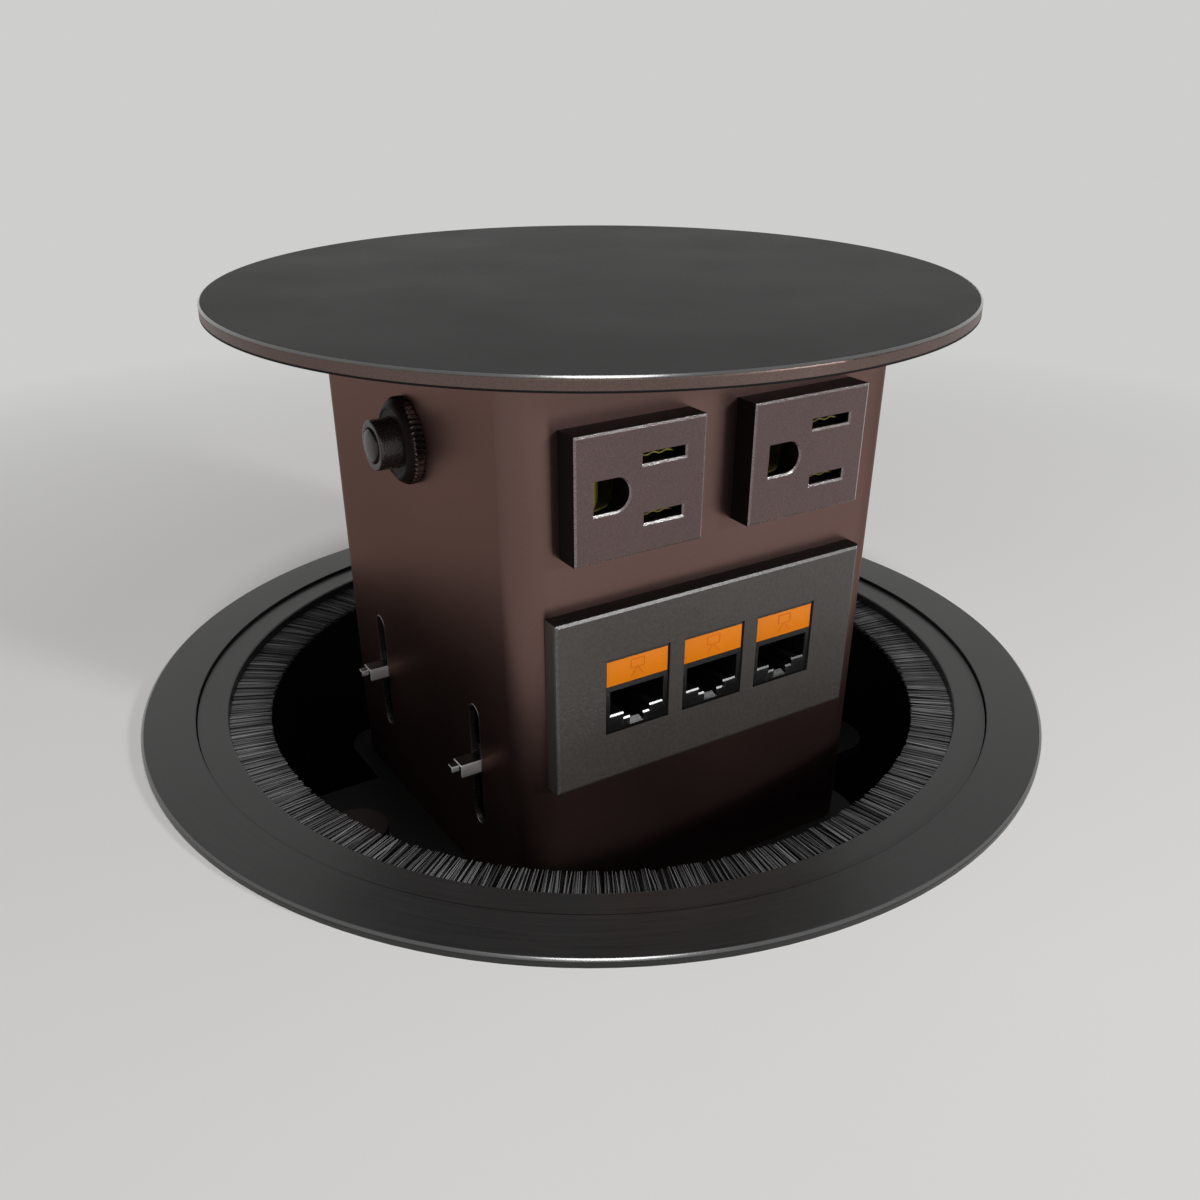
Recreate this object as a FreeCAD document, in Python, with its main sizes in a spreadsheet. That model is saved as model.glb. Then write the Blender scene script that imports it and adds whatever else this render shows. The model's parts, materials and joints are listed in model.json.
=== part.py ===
import FreeCAD, Part
import math
import os

import Sketcher
from FreeCAD import Placement, Rotation, Vector

# Pull-up floor box outlet with two sockets and three data jacks, in millimetres.
# The origin is on the axis, at the floor's surface, where the trim ring's underside rests.
# +Z is up, the sockets face -Y, and the breaker is on the -X side. The tower is drawn raised.

# Driving dimensions

DIMENSIONS = {
    # Trim ring on the floor, with the stepped recess that holds the brush
    "flange_width": 13.6,
    "flange_thick": 2.0,
    "flange_edge_round": 0.9,
    "recess_step": 8.1,
    "cup_wall": 2.0,
    "ledge_thick": 2.5,
    "mouth_inset": 0.2,
    "ring_gap": 0.3,
    "cover_drop": 1.0,
    "cover_edge_round": 0.5,
    "bristle_reach": 11.05,
    "brush_thick": 2.1,
    "brush_grip": 4.0,
    "holder_base": 1.5,
    "peg_radius": 1.2,
    "peg_length": 1.5,
    # Well below the floor
    "well_radius": 100.0,
    "well_wall": 1.5,
    "lip_thick": 2.0,
    "lip_inset": 0.6,
    "well_foot_width": 12.0,
    "well_foot_thick": 2.0,
    "base_thick": 3.0,
    "anchor_inset": 10.2183,
    "anchor_hole_radius": 2.75,
    "entry_height": 28.0,
    "entry_bore_radius": 13.9,
    "entry_wall": 1.6,
    "entry_length": 4.5,
    "entry_bush_wall": 2.0,
    "entry_bush_rim": 2.5,
    "entry_bush_depth": 4.2,
    "earth_offset_y": 62.0,
    # Screws
    "screw_radius": 2.0,
    "screw_head_radius": 3.8,
    "screw_head_thick": 2.2,
    "nut_across_flats": 7.0,
    "nut_thick": 3.2,
    "screw_spare": 1.5,
    "trim_screw_radius": 1.5,
    "trim_head_radius": 2.8,
    "trim_head_thick": 1.5,
    "clinch_nut_radius": 2.8,
    "clinch_nut_thick": 2.4,
    "hole_clear": 0.25,
    "fit_clear": 0.05,
    "run_clear": 0.3,
    # Lift
    "lift_travel": 104.0,
    "rod_radius": 4.0,
    "rod_inset": 26.0,
    "rod_screw_depth": 12.0,
    "bush_wall": 2.5,
    "bush_rim": 3.0,
    "bush_rim_thick": 2.0,
    "housing_wall": 4.5,
    "housing_height": 8.0,
    "collar_radius": 8.5,
    "collar_height": 6.0,
    "set_screw_radius": 1.5,
    "bumper_radius": 7.0,
    "bumper_top_radius": 6.0,
    "bumper_height": 10.0,
    "bumper_inset_x": 8.7,
    "bumper_inset_y": 10.25,
    # Carrier plate under the tower
    "foot_depth": 34.7,
    "carrier_thick": 3.0,
    "carrier_margin": 4.8,
    "ear_margin": 11.0,
    "ear_width": 62.0,
    "ear_round": 10.0,
    "cable_window_x": 62.0,
    "cable_window_y": 56.0,
    # Tower
    "tower_length": 108.5,
    "tower_wall": 1.5,
    "tower_round": 8.0,
    "tower_lip": 12.0,
    "lip_screw_inset": 8.0,
    "rear_side_margin": 16.0,
    "rear_low_margin": 19.7,
    "rear_high_margin": 20.5,
    "rear_overlap": 8.0,
    "rear_cover_thick": 1.5,
    "cover_head_radius": 3.2,
    "cover_head_thick": 1.5,
    # Lid
    "lid_inset": 9.8,
    "lid_thick": 3.0,
    "lid_rest_gap": 0.3,
    "lid_edge_round": 0.8,
    "stud_inset_x": 15.7,
    "stud_inset_y": 15.25,
    "stud_length": 9.0,
    # Sockets
    "socket_width": 31.8,
    "socket_height": 27.1,
    "socket_proud": 6.3,
    "socket_gap": 12.6,
    "socket_side_margin": 12.6,
    "socket_shift": 2.9,
    "socket_drop": 26.6,
    "socket_edge_round": 0.6,
    "neck_inset": 1.8,
    "neck_depth": 22.0,
    "slot_upper_length": 11.2,
    "slot_lower_length": 10.3,
    "slot_tall": 2.9,
    "slot_spacing": 12.7,
    "slot_upper_centre": 5.7,
    "slot_lower_centre": 5.8,
    "slot_mid_rise": 0.2,
    "ground_flat": 11.5,
    "ground_length": 9.2,
    "ground_tall": 7.6,
    "contact_sheet": 0.6,
    "contact_set_back": 2.0,
    "contact_width": 8.0,
    "socket_back_thick": 3.0,
    "socket_frame_thick": 1.2,
    "socket_frame_rim": 2.2,
    "terminal_radius": 3.0,
    "terminal_thick": 2.0,
    "terminal_blade_offset": 5.5,
    "terminal_ground_offset": 7.0,
    "terminal_rise": 6.0,
    # Data plate and jacks
    "plate_side_margin": 8.15,
    "plate_height": 43.0,
    "plate_proud": 4.3,
    "plate_round": 1.0,
    "plate_shift": 2.4,
    "plate_drop": 47.8,
    "jack_gap": 4.0,
    "jack_width": 17.1,
    "jack_height": 18.9,
    "jack_rise": 0.4,
    "jack_depth": 27.0,
    "jack_set_back": 0.4,
    "port_wall": 1.35,
    "port_height": 6.1,
    "port_depth": 14.0,
    "step_width": 7.1,
    "step_height": 1.5,
    "notch_width": 3.6,
    "notch_height": 2.1,
    "notch_floor": 0.75,
    "tag_side": 0.35,
    "tag_over_port": 1.4,
    "tag_under_top": 0.85,
    "tag_thick": 1.0,
    "pin_pitch": 1.02,
    "pin_thick": 0.4,
    "pin_drop": 0.5,
    "pin_length": 9.0,
    "jack_frame_rim": 4.0,
    "jack_frame_thick": 2.0,
    # Breaker
    "breaker_shift": 2.2,
    "breaker_drop": 27.0,
    "barrel_radius": 5.75,
    "barrel_proud": 9.0,
    "nut_radius": 10.0,
    "nut_front_radius": 8.0,
    "nut_width": 4.0,
    "nut_bevel": 1.4,
    "nut_groove_depth": 0.45,
    "nut_groove_radius": 0.45,
    "washer_radius": 8.0,
    "washer_thick": 0.8,
    "breaker_width": 15.0,
    "breaker_height": 31.0,
    "breaker_depth": 27.0,
    "button_radius": 3.8,
    "button_proud": 0.9,
    "button_length": 8.0,
    "button_dome": 0.5,
    "tab_width": 6.3,
    "tab_thick": 0.8,
    "tab_length": 8.0,
    "tab_spacing": 14.0,
    # Cross bars in the upright slots
    "slot_inset_y": 25.55,
    "side_slot_width": 5.0,
    "side_slot_length": 34.2,
    "side_slot_rise": 35.85,
    "bar_height": 3.5,
    "bar_proud": 5.3,
    "bar_rest_rise": 1.0,
    "nib_proud": 2.0,
    "nib_height": 1.6,
    "nib_width": 2.2,
    "nib_rise": 0.6,
    "block_height": 8.0,
    "block_width": 10.0,
    "block_thick": 3.0,
}

FLANGE_SCREW_COUNT = 6
COVER_PEG_COUNT = 6
BASE_SCREW_COUNT = 6
BASE_SCREW_ANGLE = 30.0
NUT_GROOVE_COUNT = 48
JACK_COUNT = 3
JACK_PIN_COUNT = 8
HEXAGON_SIDES = 6


class Size:
    """A length that carries its number and the sheet expression that gives it."""

    def __init__(self, value, text):
        self.value = float(value)
        self.text = text

    def __add__(self, other):
        other = as_size(other)
        return Size(self.value + other.value, "(" + self.text + " + " + other.text + ")")

    def __radd__(self, other):
        return as_size(other) + self

    def __sub__(self, other):
        other = as_size(other)
        return Size(self.value - other.value, "(" + self.text + " - " + other.text + ")")

    def __rsub__(self, other):
        return as_size(other) - self

    def __mul__(self, other):
        other = as_size(other)
        return Size(self.value * other.value, "(" + self.text + " * " + other.text + ")")

    def __rmul__(self, other):
        return as_size(other) * self

    def __truediv__(self, other):
        other = as_size(other)
        return Size(self.value / other.value, "(" + self.text + " / " + other.text + ")")

    def __neg__(self):
        return Size(-self.value, "(0 - " + self.text + ")")


def as_size(number):
    if isinstance(number, Size):
        return number
    return Size(number, "(" + format(float(number), ".9f") + ")")


class Dimensions:
    """The sheet's cells, each read by its alias as a Size."""

    def __init__(self, names):
        for name, value in names.items():
            setattr(self, name, Size(value, "Sizes." + name))


doc = FreeCAD.newDocument("FloorBoxOutlet")
sheet = doc.addObject("Spreadsheet::Sheet", "Sizes")
for row, (alias, number) in enumerate(DIMENSIONS.items(), start=1):
    sheet.set("A" + str(row), alias)
    sheet.set("B" + str(row), str(number))
    sheet.setAlias("B" + str(row), alias)
doc.recompute()

d = Dimensions(DIMENSIONS)
ZERO = as_size(0)
SUB_PARTS = []

# Small helpers for primitives and booleans

TURNS = {
    "z+": Rotation(),
    "z-": Rotation(Vector(1, 0, 0), 180),
    "y-": Rotation(Vector(1, 0, 0), 90),
    "y+": Rotation(Vector(1, 0, 0), -90),
    "x+": Rotation(Vector(0, 1, 0), 90),
    "x-": Rotation(Vector(0, 1, 0), -90),
}


def bind(obj, prop, size):
    obj.setExpression(prop, as_size(size).text)


def put(obj, place, direction="z+"):
    x, y, z = (as_size(value) for value in place)
    obj.Placement = Placement(Vector(x.value, y.value, z.value), TURNS[direction])
    bind(obj, "Placement.Base.x", x)
    bind(obj, "Placement.Base.y", y)
    bind(obj, "Placement.Base.z", z)
    return obj


def block(name, x_span, y_span, z_span):
    obj = doc.addObject("Part::Box", name)
    for prop, (low, high) in zip(("Length", "Width", "Height"), (x_span, y_span, z_span)):
        bind(obj, prop, as_size(high) - low)
    return put(obj, (x_span[0], y_span[0], z_span[0]))


def rod(name, radius, start, length, direction="z+"):
    obj = doc.addObject("Part::Cylinder", name)
    bind(obj, "Radius", radius)
    bind(obj, "Height", length)
    return put(obj, start, direction)


def cone(name, radius_start, radius_end, start, length, direction="z+"):
    obj = doc.addObject("Part::Cone", name)
    bind(obj, "Radius1", radius_start)
    bind(obj, "Radius2", radius_end)
    bind(obj, "Height", length)
    return put(obj, start, direction)


def hexagon(name, across_flats, start, length, direction="z+"):
    obj = doc.addObject("Part::Prism", name)
    obj.Polygon = HEXAGON_SIDES
    bind(obj, "Circumradius", across_flats / (2 * math.cos(math.pi / HEXAGON_SIDES)))
    bind(obj, "Height", length)
    return put(obj, start, direction)


def fuse(name, *pieces):
    obj = doc.addObject("Part::MultiFuse", name)
    obj.Shapes = list(pieces)
    return obj


def cut(name, base, *tools):
    obj = doc.addObject("Part::Cut", name)
    obj.Base = base
    obj.Tool = tools[0] if len(tools) == 1 else fuse(name + "_tools", *tools)
    return obj


def tube(name, outer, inner, start, length, direction="z+"):
    return cut(
        name,
        rod(name + "_outside", outer, start, length, direction),
        rod(name + "_inside", inner, start, length, direction),
    )


def sub_part(name, obj):
    obj.Label = name
    SUB_PARTS.append(obj)
    return obj


def group(name, pieces):
    obj = doc.addObject("Part::Compound", name + "_group")
    obj.Links = list(pieces)
    return sub_part(name, obj)


def around(count, radius, start_degrees=0.0):
    for index in range(count):
        turn = math.radians(start_degrees + 360.0 * index / count)
        yield index, radius * math.cos(turn), radius * math.sin(turn)


def mirrored_pair(spacing):
    return ((-spacing / 2, "low"), (spacing / 2, "high"))


# Small helpers for bodies and sketches


def new_body(name):
    body = doc.addObject("PartDesign::Body", name + "_body")
    return sub_part(name, body)


def origin_feature(body, role):
    return [item for item in body.Origin.OriginFeatures if item.Role == role][0]


def new_sketch(body, name, role, offset=None):
    sketch = body.newObject("Sketcher::SketchObject", name)
    sketch.AttachmentSupport = [(origin_feature(body, role), "")]
    sketch.MapMode = "FlatFace"
    if offset is not None:
        sketch.AttachmentOffset = Placement(Vector(0, 0, offset.value), Rotation())
        bind(sketch, "AttachmentOffset.Base.z", offset)
    return sketch


def pin_point(sketch, edge, across, up):
    for kind, size in (("DistanceX", as_size(across)), ("DistanceY", as_size(up))):
        if abs(size.value) < 1e-9:
            axis = -2 if kind == "DistanceX" else -1
            sketch.addConstraint(Sketcher.Constraint("PointOnObject", edge, 1, axis))
            continue
        index = sketch.addConstraint(Sketcher.Constraint(kind, -1, 1, edge, 1, size.value))
        bind(sketch, "Constraints[" + str(index) + "]", size)


def draw_outline(sketch, corners):
    first = sketch.GeometryCount
    count = len(corners)
    corners = [(as_size(x), as_size(y)) for x, y in corners]
    for index in range(count):
        here = corners[index]
        after = corners[(index + 1) % count]
        start = Vector(here[0].value, here[1].value, 0)
        end = Vector(after[0].value, after[1].value, 0)
        sketch.addGeometry(Part.LineSegment(start, end), False)
    for index in range(count):
        after = first + (index + 1) % count
        sketch.addConstraint(Sketcher.Constraint("Coincident", first + index, 2, after, 1))
    for index, (x, y) in enumerate(corners):
        pin_point(sketch, first + index, x, y)


def draw_rectangle(sketch, x_span, y_span):
    (left, right), (low, high) = x_span, y_span
    draw_outline(sketch, [(left, low), (right, low), (right, high), (left, high)])


def draw_circle(sketch, x, y, radius):
    x, y = as_size(x), as_size(y)
    edge = sketch.addGeometry(
        Part.Circle(Vector(x.value, y.value, 0), Vector(0, 0, 1), radius.value), False
    )
    index = sketch.addConstraint(Sketcher.Constraint("Radius", edge, radius.value))
    bind(sketch, "Constraints[" + str(index) + "]", radius)
    for kind, size in (("DistanceX", x), ("DistanceY", y)):
        if abs(size.value) < 1e-9:
            axis = -2 if kind == "DistanceX" else -1
            sketch.addConstraint(Sketcher.Constraint("PointOnObject", edge, 3, axis))
            continue
        index = sketch.addConstraint(Sketcher.Constraint(kind, -1, 1, edge, 3, size.value))
        bind(sketch, "Constraints[" + str(index) + "]", size)


def revolve(body, name, corners):
    sketch = new_sketch(body, name + "_outline", "XZ_Plane")
    draw_outline(sketch, corners)
    turned = body.newObject("PartDesign::Revolution", name)
    turned.Profile = sketch
    turned.ReferenceAxis = (sketch, ["V_Axis"])
    turned.Angle = 360
    return turned


def pad(body, name, sketch, length, reverse=False):
    feature = body.newObject("PartDesign::Pad", name)
    feature.Profile = sketch
    feature.Length = length.value
    bind(feature, "Length", length)
    feature.Reversed = reverse
    return feature


def pocket(body, name, sketch, length, reverse=False):
    feature = body.newObject("PartDesign::Pocket", name)
    feature.Profile = sketch
    feature.Length = length.value
    bind(feature, "Length", length)
    feature.Reversed = reverse
    return feature


def bore(body, name, radius, start, length, direction="z+"):
    feature = body.newObject("PartDesign::SubtractiveCylinder", name)
    bind(feature, "Radius", radius)
    bind(feature, "Height", length)
    return put(feature, start, direction)


def sink(body, name, radius_start, radius_end, start, length, direction="z+"):
    feature = body.newObject("PartDesign::SubtractiveCone", name)
    bind(feature, "Radius1", radius_start)
    bind(feature, "Radius2", radius_end)
    bind(feature, "Height", length)
    return put(feature, start, direction)


def repeat_around(body, name, features, count):
    pattern = body.newObject("PartDesign::PolarPattern", name)
    pattern.Originals = features
    pattern.Axis = (origin_feature(body, "Z_Axis"), [""])
    pattern.Angle = 360
    pattern.Occurrences = count
    body.Tip = pattern
    return pattern


def round_edges(body, name, base, radius, wanted):
    doc.recompute()
    edges = [
        "Edge" + str(index)
        for index, edge in enumerate(base.Shape.Edges, start=1)
        if wanted(edge)
    ]
    feature = body.newObject("PartDesign::Fillet", name)
    feature.Base = (base, edges)
    feature.Radius = radius.value
    bind(feature, "Radius", radius)
    return feature


def is_upright(edge):
    box = edge.BoundBox
    return box.ZLength > 0.1 and box.XLength < 1e-4 and box.YLength < 1e-4


def is_upright_at(reach):
    def test(edge):
        return is_upright(edge) and abs(abs(edge.BoundBox.XMin) - reach.value) < 1e-3

    return test


def is_ring_at(radius, height):
    def test(edge):
        box = edge.BoundBox
        flat = box.ZLength < 1e-4 and abs(box.ZMin - height.value) < 1e-3
        return flat and abs(box.XMax - radius.value) < 1e-3

    return test


# Heights and places that several sub-parts share

mouth_radius = d.well_radius - d.mouth_inset
recess_radius = mouth_radius + d.recess_step
flange_radius = recess_radius + d.flange_width
cup_radius = recess_radius + d.cup_wall
ring_radius = recess_radius - d.ring_gap
brush_root_radius = mouth_radius + d.brush_grip
brush_tip_radius = mouth_radius - d.bristle_reach
lid_radius = mouth_radius - d.lid_inset
peg_circle = (brush_root_radius + ring_radius) / 2

# The lid sinks until its top is level with the trim ring, just clear of the bristles
flange_top = d.flange_thick
cover_top = flange_top - d.cover_drop
cover_bottom = flange_top - d.lid_thick - d.lid_rest_gap
brush_bottom = cover_bottom - d.brush_thick
ledge_top = brush_bottom - d.holder_base
ledge_bottom = ledge_top - d.ledge_thick
lip_bottom = ledge_bottom - d.lip_thick

lid_top = flange_top + d.lift_travel
lid_bottom = lid_top - d.lid_thick
tower_bottom = -d.foot_depth
tower_ceiling = lid_bottom - d.tower_wall
carrier_bottom = tower_bottom - d.carrier_thick
bumper_top = carrier_bottom - d.lift_travel - d.run_clear

well_floor = bumper_top - d.bumper_height
base_bottom = well_floor - d.base_thick
well_outside = d.well_radius + d.well_wall
flange_screw_circle = well_outside + d.clinch_nut_radius + d.run_clear
well_foot_top = well_floor + d.well_foot_thick
well_foot_radius = d.well_radius - d.well_foot_width
base_screw_circle = d.well_radius - d.well_foot_width / 2
anchor_spacing = (well_foot_radius - d.anchor_inset) * math.sqrt(2.0)
entry_z = well_floor + d.entry_height
entry_mouth = well_outside + d.entry_length

socket_pitch = d.socket_width + d.socket_gap
tower_width = socket_pitch + d.socket_width + d.socket_side_margin * 2
half_width = tower_width / 2
half_length = d.tower_length / 2
front_face = -half_length
front_inside = front_face + d.tower_wall
left_face = -half_width
left_inside = left_face + d.tower_wall

socket_z = lid_bottom - d.socket_drop
plate_x = -d.plate_shift
plate_z = socket_z - d.plate_drop
breaker_y = -d.breaker_shift
breaker_z = lid_bottom - d.breaker_drop
slot_y = half_length - d.slot_inset_y
slot_z = tower_bottom + d.side_slot_rise
bar_width = d.side_slot_width - d.hole_clear * 2

rod_spacing = (d.well_radius - d.rod_inset) * 2
bush_radius = d.rod_radius + d.fit_clear + d.bush_wall
bush_top = tower_bottom + d.bush_rim_thick
housing_radius = bush_radius + d.housing_wall
housing_bottom = carrier_bottom - d.housing_height
collar_bottom = bush_top + d.run_clear
rod_top = collar_bottom + d.collar_height

screw_hole = d.screw_radius + d.hole_clear
trim_screw_hole = d.trim_screw_radius + d.hole_clear


# Countersunk screws, round nuts and hex nuts


def sunk_screw(name, top, length, direction="z-", radius=None, head=None, head_thick=None):
    """A countersunk screw: top is the middle of its flat head, direction the way it points."""
    radius = radius or d.screw_radius
    head = head or d.screw_head_radius
    head_thick = head_thick or d.screw_head_thick
    shank = rod(name + "_shank", radius, top, length, direction)
    taper = cone(name + "_head", head, radius, top, head_thick, direction)
    return fuse(name, shank, taper)


def hex_nut(name, start, direction="z+"):
    outside = hexagon(name + "_hex", d.nut_across_flats, start, d.nut_thick, direction)
    thread = rod(name + "_thread", d.screw_radius + d.fit_clear, start, d.nut_thick, direction)
    return cut(name, outside, thread)


# Trim ring, its cover ring and the brush between them


def make_trim_flange():
    body = new_body("trim_flange")
    turned = revolve(
        body,
        "flange_section",
        [
            (recess_radius, flange_top),
            (flange_radius, flange_top),
            (flange_radius, ZERO),
            (cup_radius, ZERO),
            (cup_radius, ledge_bottom),
            (mouth_radius, ledge_bottom),
            (mouth_radius, ledge_top),
            (recess_radius, ledge_top),
        ],
    )
    rim = round_edges(
        body, "flange_rim", turned, d.flange_edge_round, is_ring_at(flange_radius, flange_top)
    )
    body.Tip = rim
    hole = bore(
        body,
        "flange_hole",
        trim_screw_hole,
        (flange_screw_circle, ZERO, ledge_bottom),
        d.ledge_thick,
    )
    seat = sink(
        body,
        "flange_seat",
        trim_screw_hole,
        d.trim_head_radius + d.hole_clear,
        (flange_screw_circle, ZERO, ledge_top - d.trim_head_thick),
        d.trim_head_thick,
    )
    repeat_around(body, "flange_holes", [hole, seat], FLANGE_SCREW_COUNT)


def make_cover_ring():
    body = new_body("cover_ring")
    turned = revolve(
        body,
        "cover_section",
        [
            (mouth_radius, cover_bottom),
            (ring_radius, cover_bottom),
            (ring_radius, cover_top),
            (mouth_radius, cover_top),
        ],
    )
    lead_in = round_edges(
        body, "cover_lead_in", turned, d.cover_edge_round, is_ring_at(mouth_radius, cover_top)
    )
    body.Tip = lead_in
    sketch = new_sketch(body, "peg_circle", "XY_Plane", cover_bottom)
    draw_circle(sketch, peg_circle, ZERO, d.peg_radius)
    peg = pad(body, "peg", sketch, d.peg_length, reverse=True)
    repeat_around(body, "pegs", [peg], COVER_PEG_COUNT)


def make_brush():
    holder = new_body("brush_holder")
    revolve(
        holder,
        "holder_section",
        [
            (mouth_radius, ledge_top),
            (ring_radius, ledge_top),
            (ring_radius, cover_bottom),
            (brush_root_radius, cover_bottom),
            (brush_root_radius, brush_bottom),
            (mouth_radius, brush_bottom),
        ],
    )
    hole = bore(
        holder,
        "peg_hole",
        d.peg_radius + d.fit_clear,
        (peg_circle, ZERO, cover_bottom - d.peg_length - d.run_clear),
        d.peg_length + d.run_clear,
    )
    repeat_around(holder, "peg_holes", [hole], COVER_PEG_COUNT)
    sub_part(
        "brush_ring",
        tube(
            "bristles",
            brush_root_radius,
            brush_tip_radius,
            (ZERO, ZERO, brush_bottom),
            d.brush_thick,
        ),
    )


def make_flange_screws():
    length = ledge_top - (lip_bottom - d.clinch_nut_thick - d.screw_spare)
    screws = []
    nuts = []
    for index, x, y in around(FLANGE_SCREW_COUNT, flange_screw_circle):
        screws.append(
            sunk_screw(
                "flange_screw_" + str(index),
                (x, y, ledge_top),
                length,
                radius=d.trim_screw_radius,
                head=d.trim_head_radius,
                head_thick=d.trim_head_thick,
            )
        )
        nuts.append(
            tube(
                "flange_nut_" + str(index),
                d.clinch_nut_radius,
                d.trim_screw_radius + d.fit_clear,
                (x, y, lip_bottom),
                d.clinch_nut_thick,
                "z-",
            )
        )
    group("flange_screws", screws)
    group("flange_nuts", nuts)


# Well: sleeve with its lip ring, foot ring and two cable entries, and the base


ENTRIES = ((1, "y+", "y-", "rear"), (-1, "y-", "y+", "front"))


def make_well():
    """A tube with two cable holes, a lip ring round its top and a foot ring inside its bottom."""
    tube_height = ledge_bottom - well_floor
    wall = tube("sleeve_tube", well_outside, d.well_radius, (ZERO, ZERO, well_floor), tube_height)
    bores = [
        rod("sleeve_bore_" + side, d.entry_bore_radius, (ZERO, ZERO, entry_z), well_outside, outward)
        for _, outward, _, side in ENTRIES
    ]
    sub_part("well_sleeve", cut("sleeve", wall, *bores))
    lip = tube(
        "lip_ring",
        cup_radius - d.lip_inset,
        well_outside + d.fit_clear,
        (ZERO, ZERO, lip_bottom),
        d.lip_thick,
    )
    lip_holes = [
        rod("lip_hole_" + str(index), trim_screw_hole, (x, y, lip_bottom), d.lip_thick)
        for index, x, y in around(FLANGE_SCREW_COUNT, flange_screw_circle)
    ]
    sub_part("well_lip", cut("lip", lip, *lip_holes))
    foot = tube(
        "foot_ring",
        d.well_radius - d.fit_clear,
        well_foot_radius,
        (ZERO, ZERO, well_floor),
        d.well_foot_thick,
    )
    foot_holes = [
        rod("foot_hole_" + str(index), screw_hole, (x, y, well_floor), d.well_foot_thick)
        for index, x, y in around(BASE_SCREW_COUNT, base_screw_circle, BASE_SCREW_ANGLE)
    ]
    sub_part("well_foot", cut("foot", foot, *foot_holes))


def make_entries():
    """A short stub at the well's rear and one at its front, each with a bush in its mouth."""
    stubs = []
    bushes = []
    for sign, outward, inward, side in ENTRIES:
        stub = tube(
            "entry_stub_tube_" + side,
            d.entry_bore_radius + d.entry_wall,
            d.entry_bore_radius,
            (ZERO, ZERO, entry_z),
            entry_mouth,
            outward,
        )
        round_end = rod(
            "entry_stub_end_" + side, well_outside, (ZERO, ZERO, well_floor), -well_floor
        )
        stubs.append(cut("entry_stub_" + side, stub, round_end))
        outside = d.entry_bore_radius - d.fit_clear
        mouth = (ZERO, entry_mouth * sign, entry_z)
        sleeve = rod("entry_bush_" + side, outside, mouth, d.entry_bush_depth, inward)
        rim = rod(
            "entry_bush_rim_" + side,
            d.entry_bore_radius + d.entry_wall,
            mouth,
            d.entry_bush_rim,
            outward,
        )
        passage = rod(
            "entry_bush_passage_" + side,
            outside - d.entry_bush_wall,
            (ZERO, (entry_mouth - d.entry_bush_depth) * sign, entry_z),
            d.entry_bush_depth + d.entry_bush_rim,
            outward,
        )
        whole = fuse("entry_bush_solid_" + side, sleeve, rim)
        bushes.append(cut("entry_bush_cut_" + side, whole, passage))
    group("entry_stubs", stubs)
    group("entry_bushes", bushes)


def make_base_plate():
    body = new_body("base_plate")
    sketch = new_sketch(body, "base_outline", "XY_Plane", base_bottom)
    draw_circle(sketch, ZERO, ZERO, well_outside)
    pad(body, "base_disc", sketch, d.base_thick)
    for x, side in mirrored_pair(anchor_spacing):
        for y, end in mirrored_pair(anchor_spacing):
            bore(
                body,
                "anchor_hole_" + side + "_" + end,
                d.anchor_hole_radius,
                (x, y, base_bottom),
                d.base_thick,
            )
    for x, side in mirrored_pair(rod_spacing):
        bore(body, "rod_hole_" + side, screw_hole, (x, ZERO, base_bottom), d.base_thick)
        sink(
            body,
            "rod_seat_" + side,
            d.screw_head_radius + d.hole_clear,
            screw_hole,
            (x, ZERO, base_bottom),
            d.screw_head_thick,
        )
    bore(body, "earth_hole", screw_hole, (ZERO, d.earth_offset_y, base_bottom), d.base_thick)
    turn = math.radians(BASE_SCREW_ANGLE)
    place = (base_screw_circle * math.cos(turn), base_screw_circle * math.sin(turn), base_bottom)
    hole = bore(body, "base_hole", screw_hole, place, d.base_thick)
    seat = sink(
        body,
        "base_seat",
        d.screw_head_radius + d.hole_clear,
        screw_hole,
        place,
        d.screw_head_thick,
    )
    repeat_around(body, "base_holes", [hole, seat], BASE_SCREW_COUNT)


def make_base_hardware():
    length = d.base_thick + d.well_foot_thick + d.nut_thick + d.screw_spare
    screws = []
    nuts = []
    for index, x, y in around(BASE_SCREW_COUNT, base_screw_circle, BASE_SCREW_ANGLE):
        screws.append(sunk_screw("base_screw_" + str(index), (x, y, base_bottom), length, "z+"))
        nuts.append(hex_nut("base_nut_" + str(index), (x, y, well_foot_top)))
    group("base_screws", screws)
    group("base_nuts", nuts)
    group(
        "rod_screws",
        [
            sunk_screw(
                "rod_screw_" + side,
                (x, ZERO, base_bottom),
                d.base_thick + d.rod_screw_depth - d.run_clear,
                "z+",
            )
            for x, side in mirrored_pair(rod_spacing)
        ],
    )
    stud_length = d.base_thick + d.nut_thick * 2 + d.screw_spare * 2
    stud_foot = (ZERO, d.earth_offset_y, base_bottom)
    stud = rod("earth_stud_rod", d.screw_radius, stud_foot, stud_length)
    sub_part("earth_stud", stud)
    group(
        "earth_nuts",
        [
            hex_nut(
                "earth_nut_" + str(index),
                (ZERO, d.earth_offset_y, well_floor + (d.nut_thick + d.screw_spare) * index),
            )
            for index in range(2)
        ],
    )


# Lift: two rods with stop collars, and the bushes that slide on them


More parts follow.
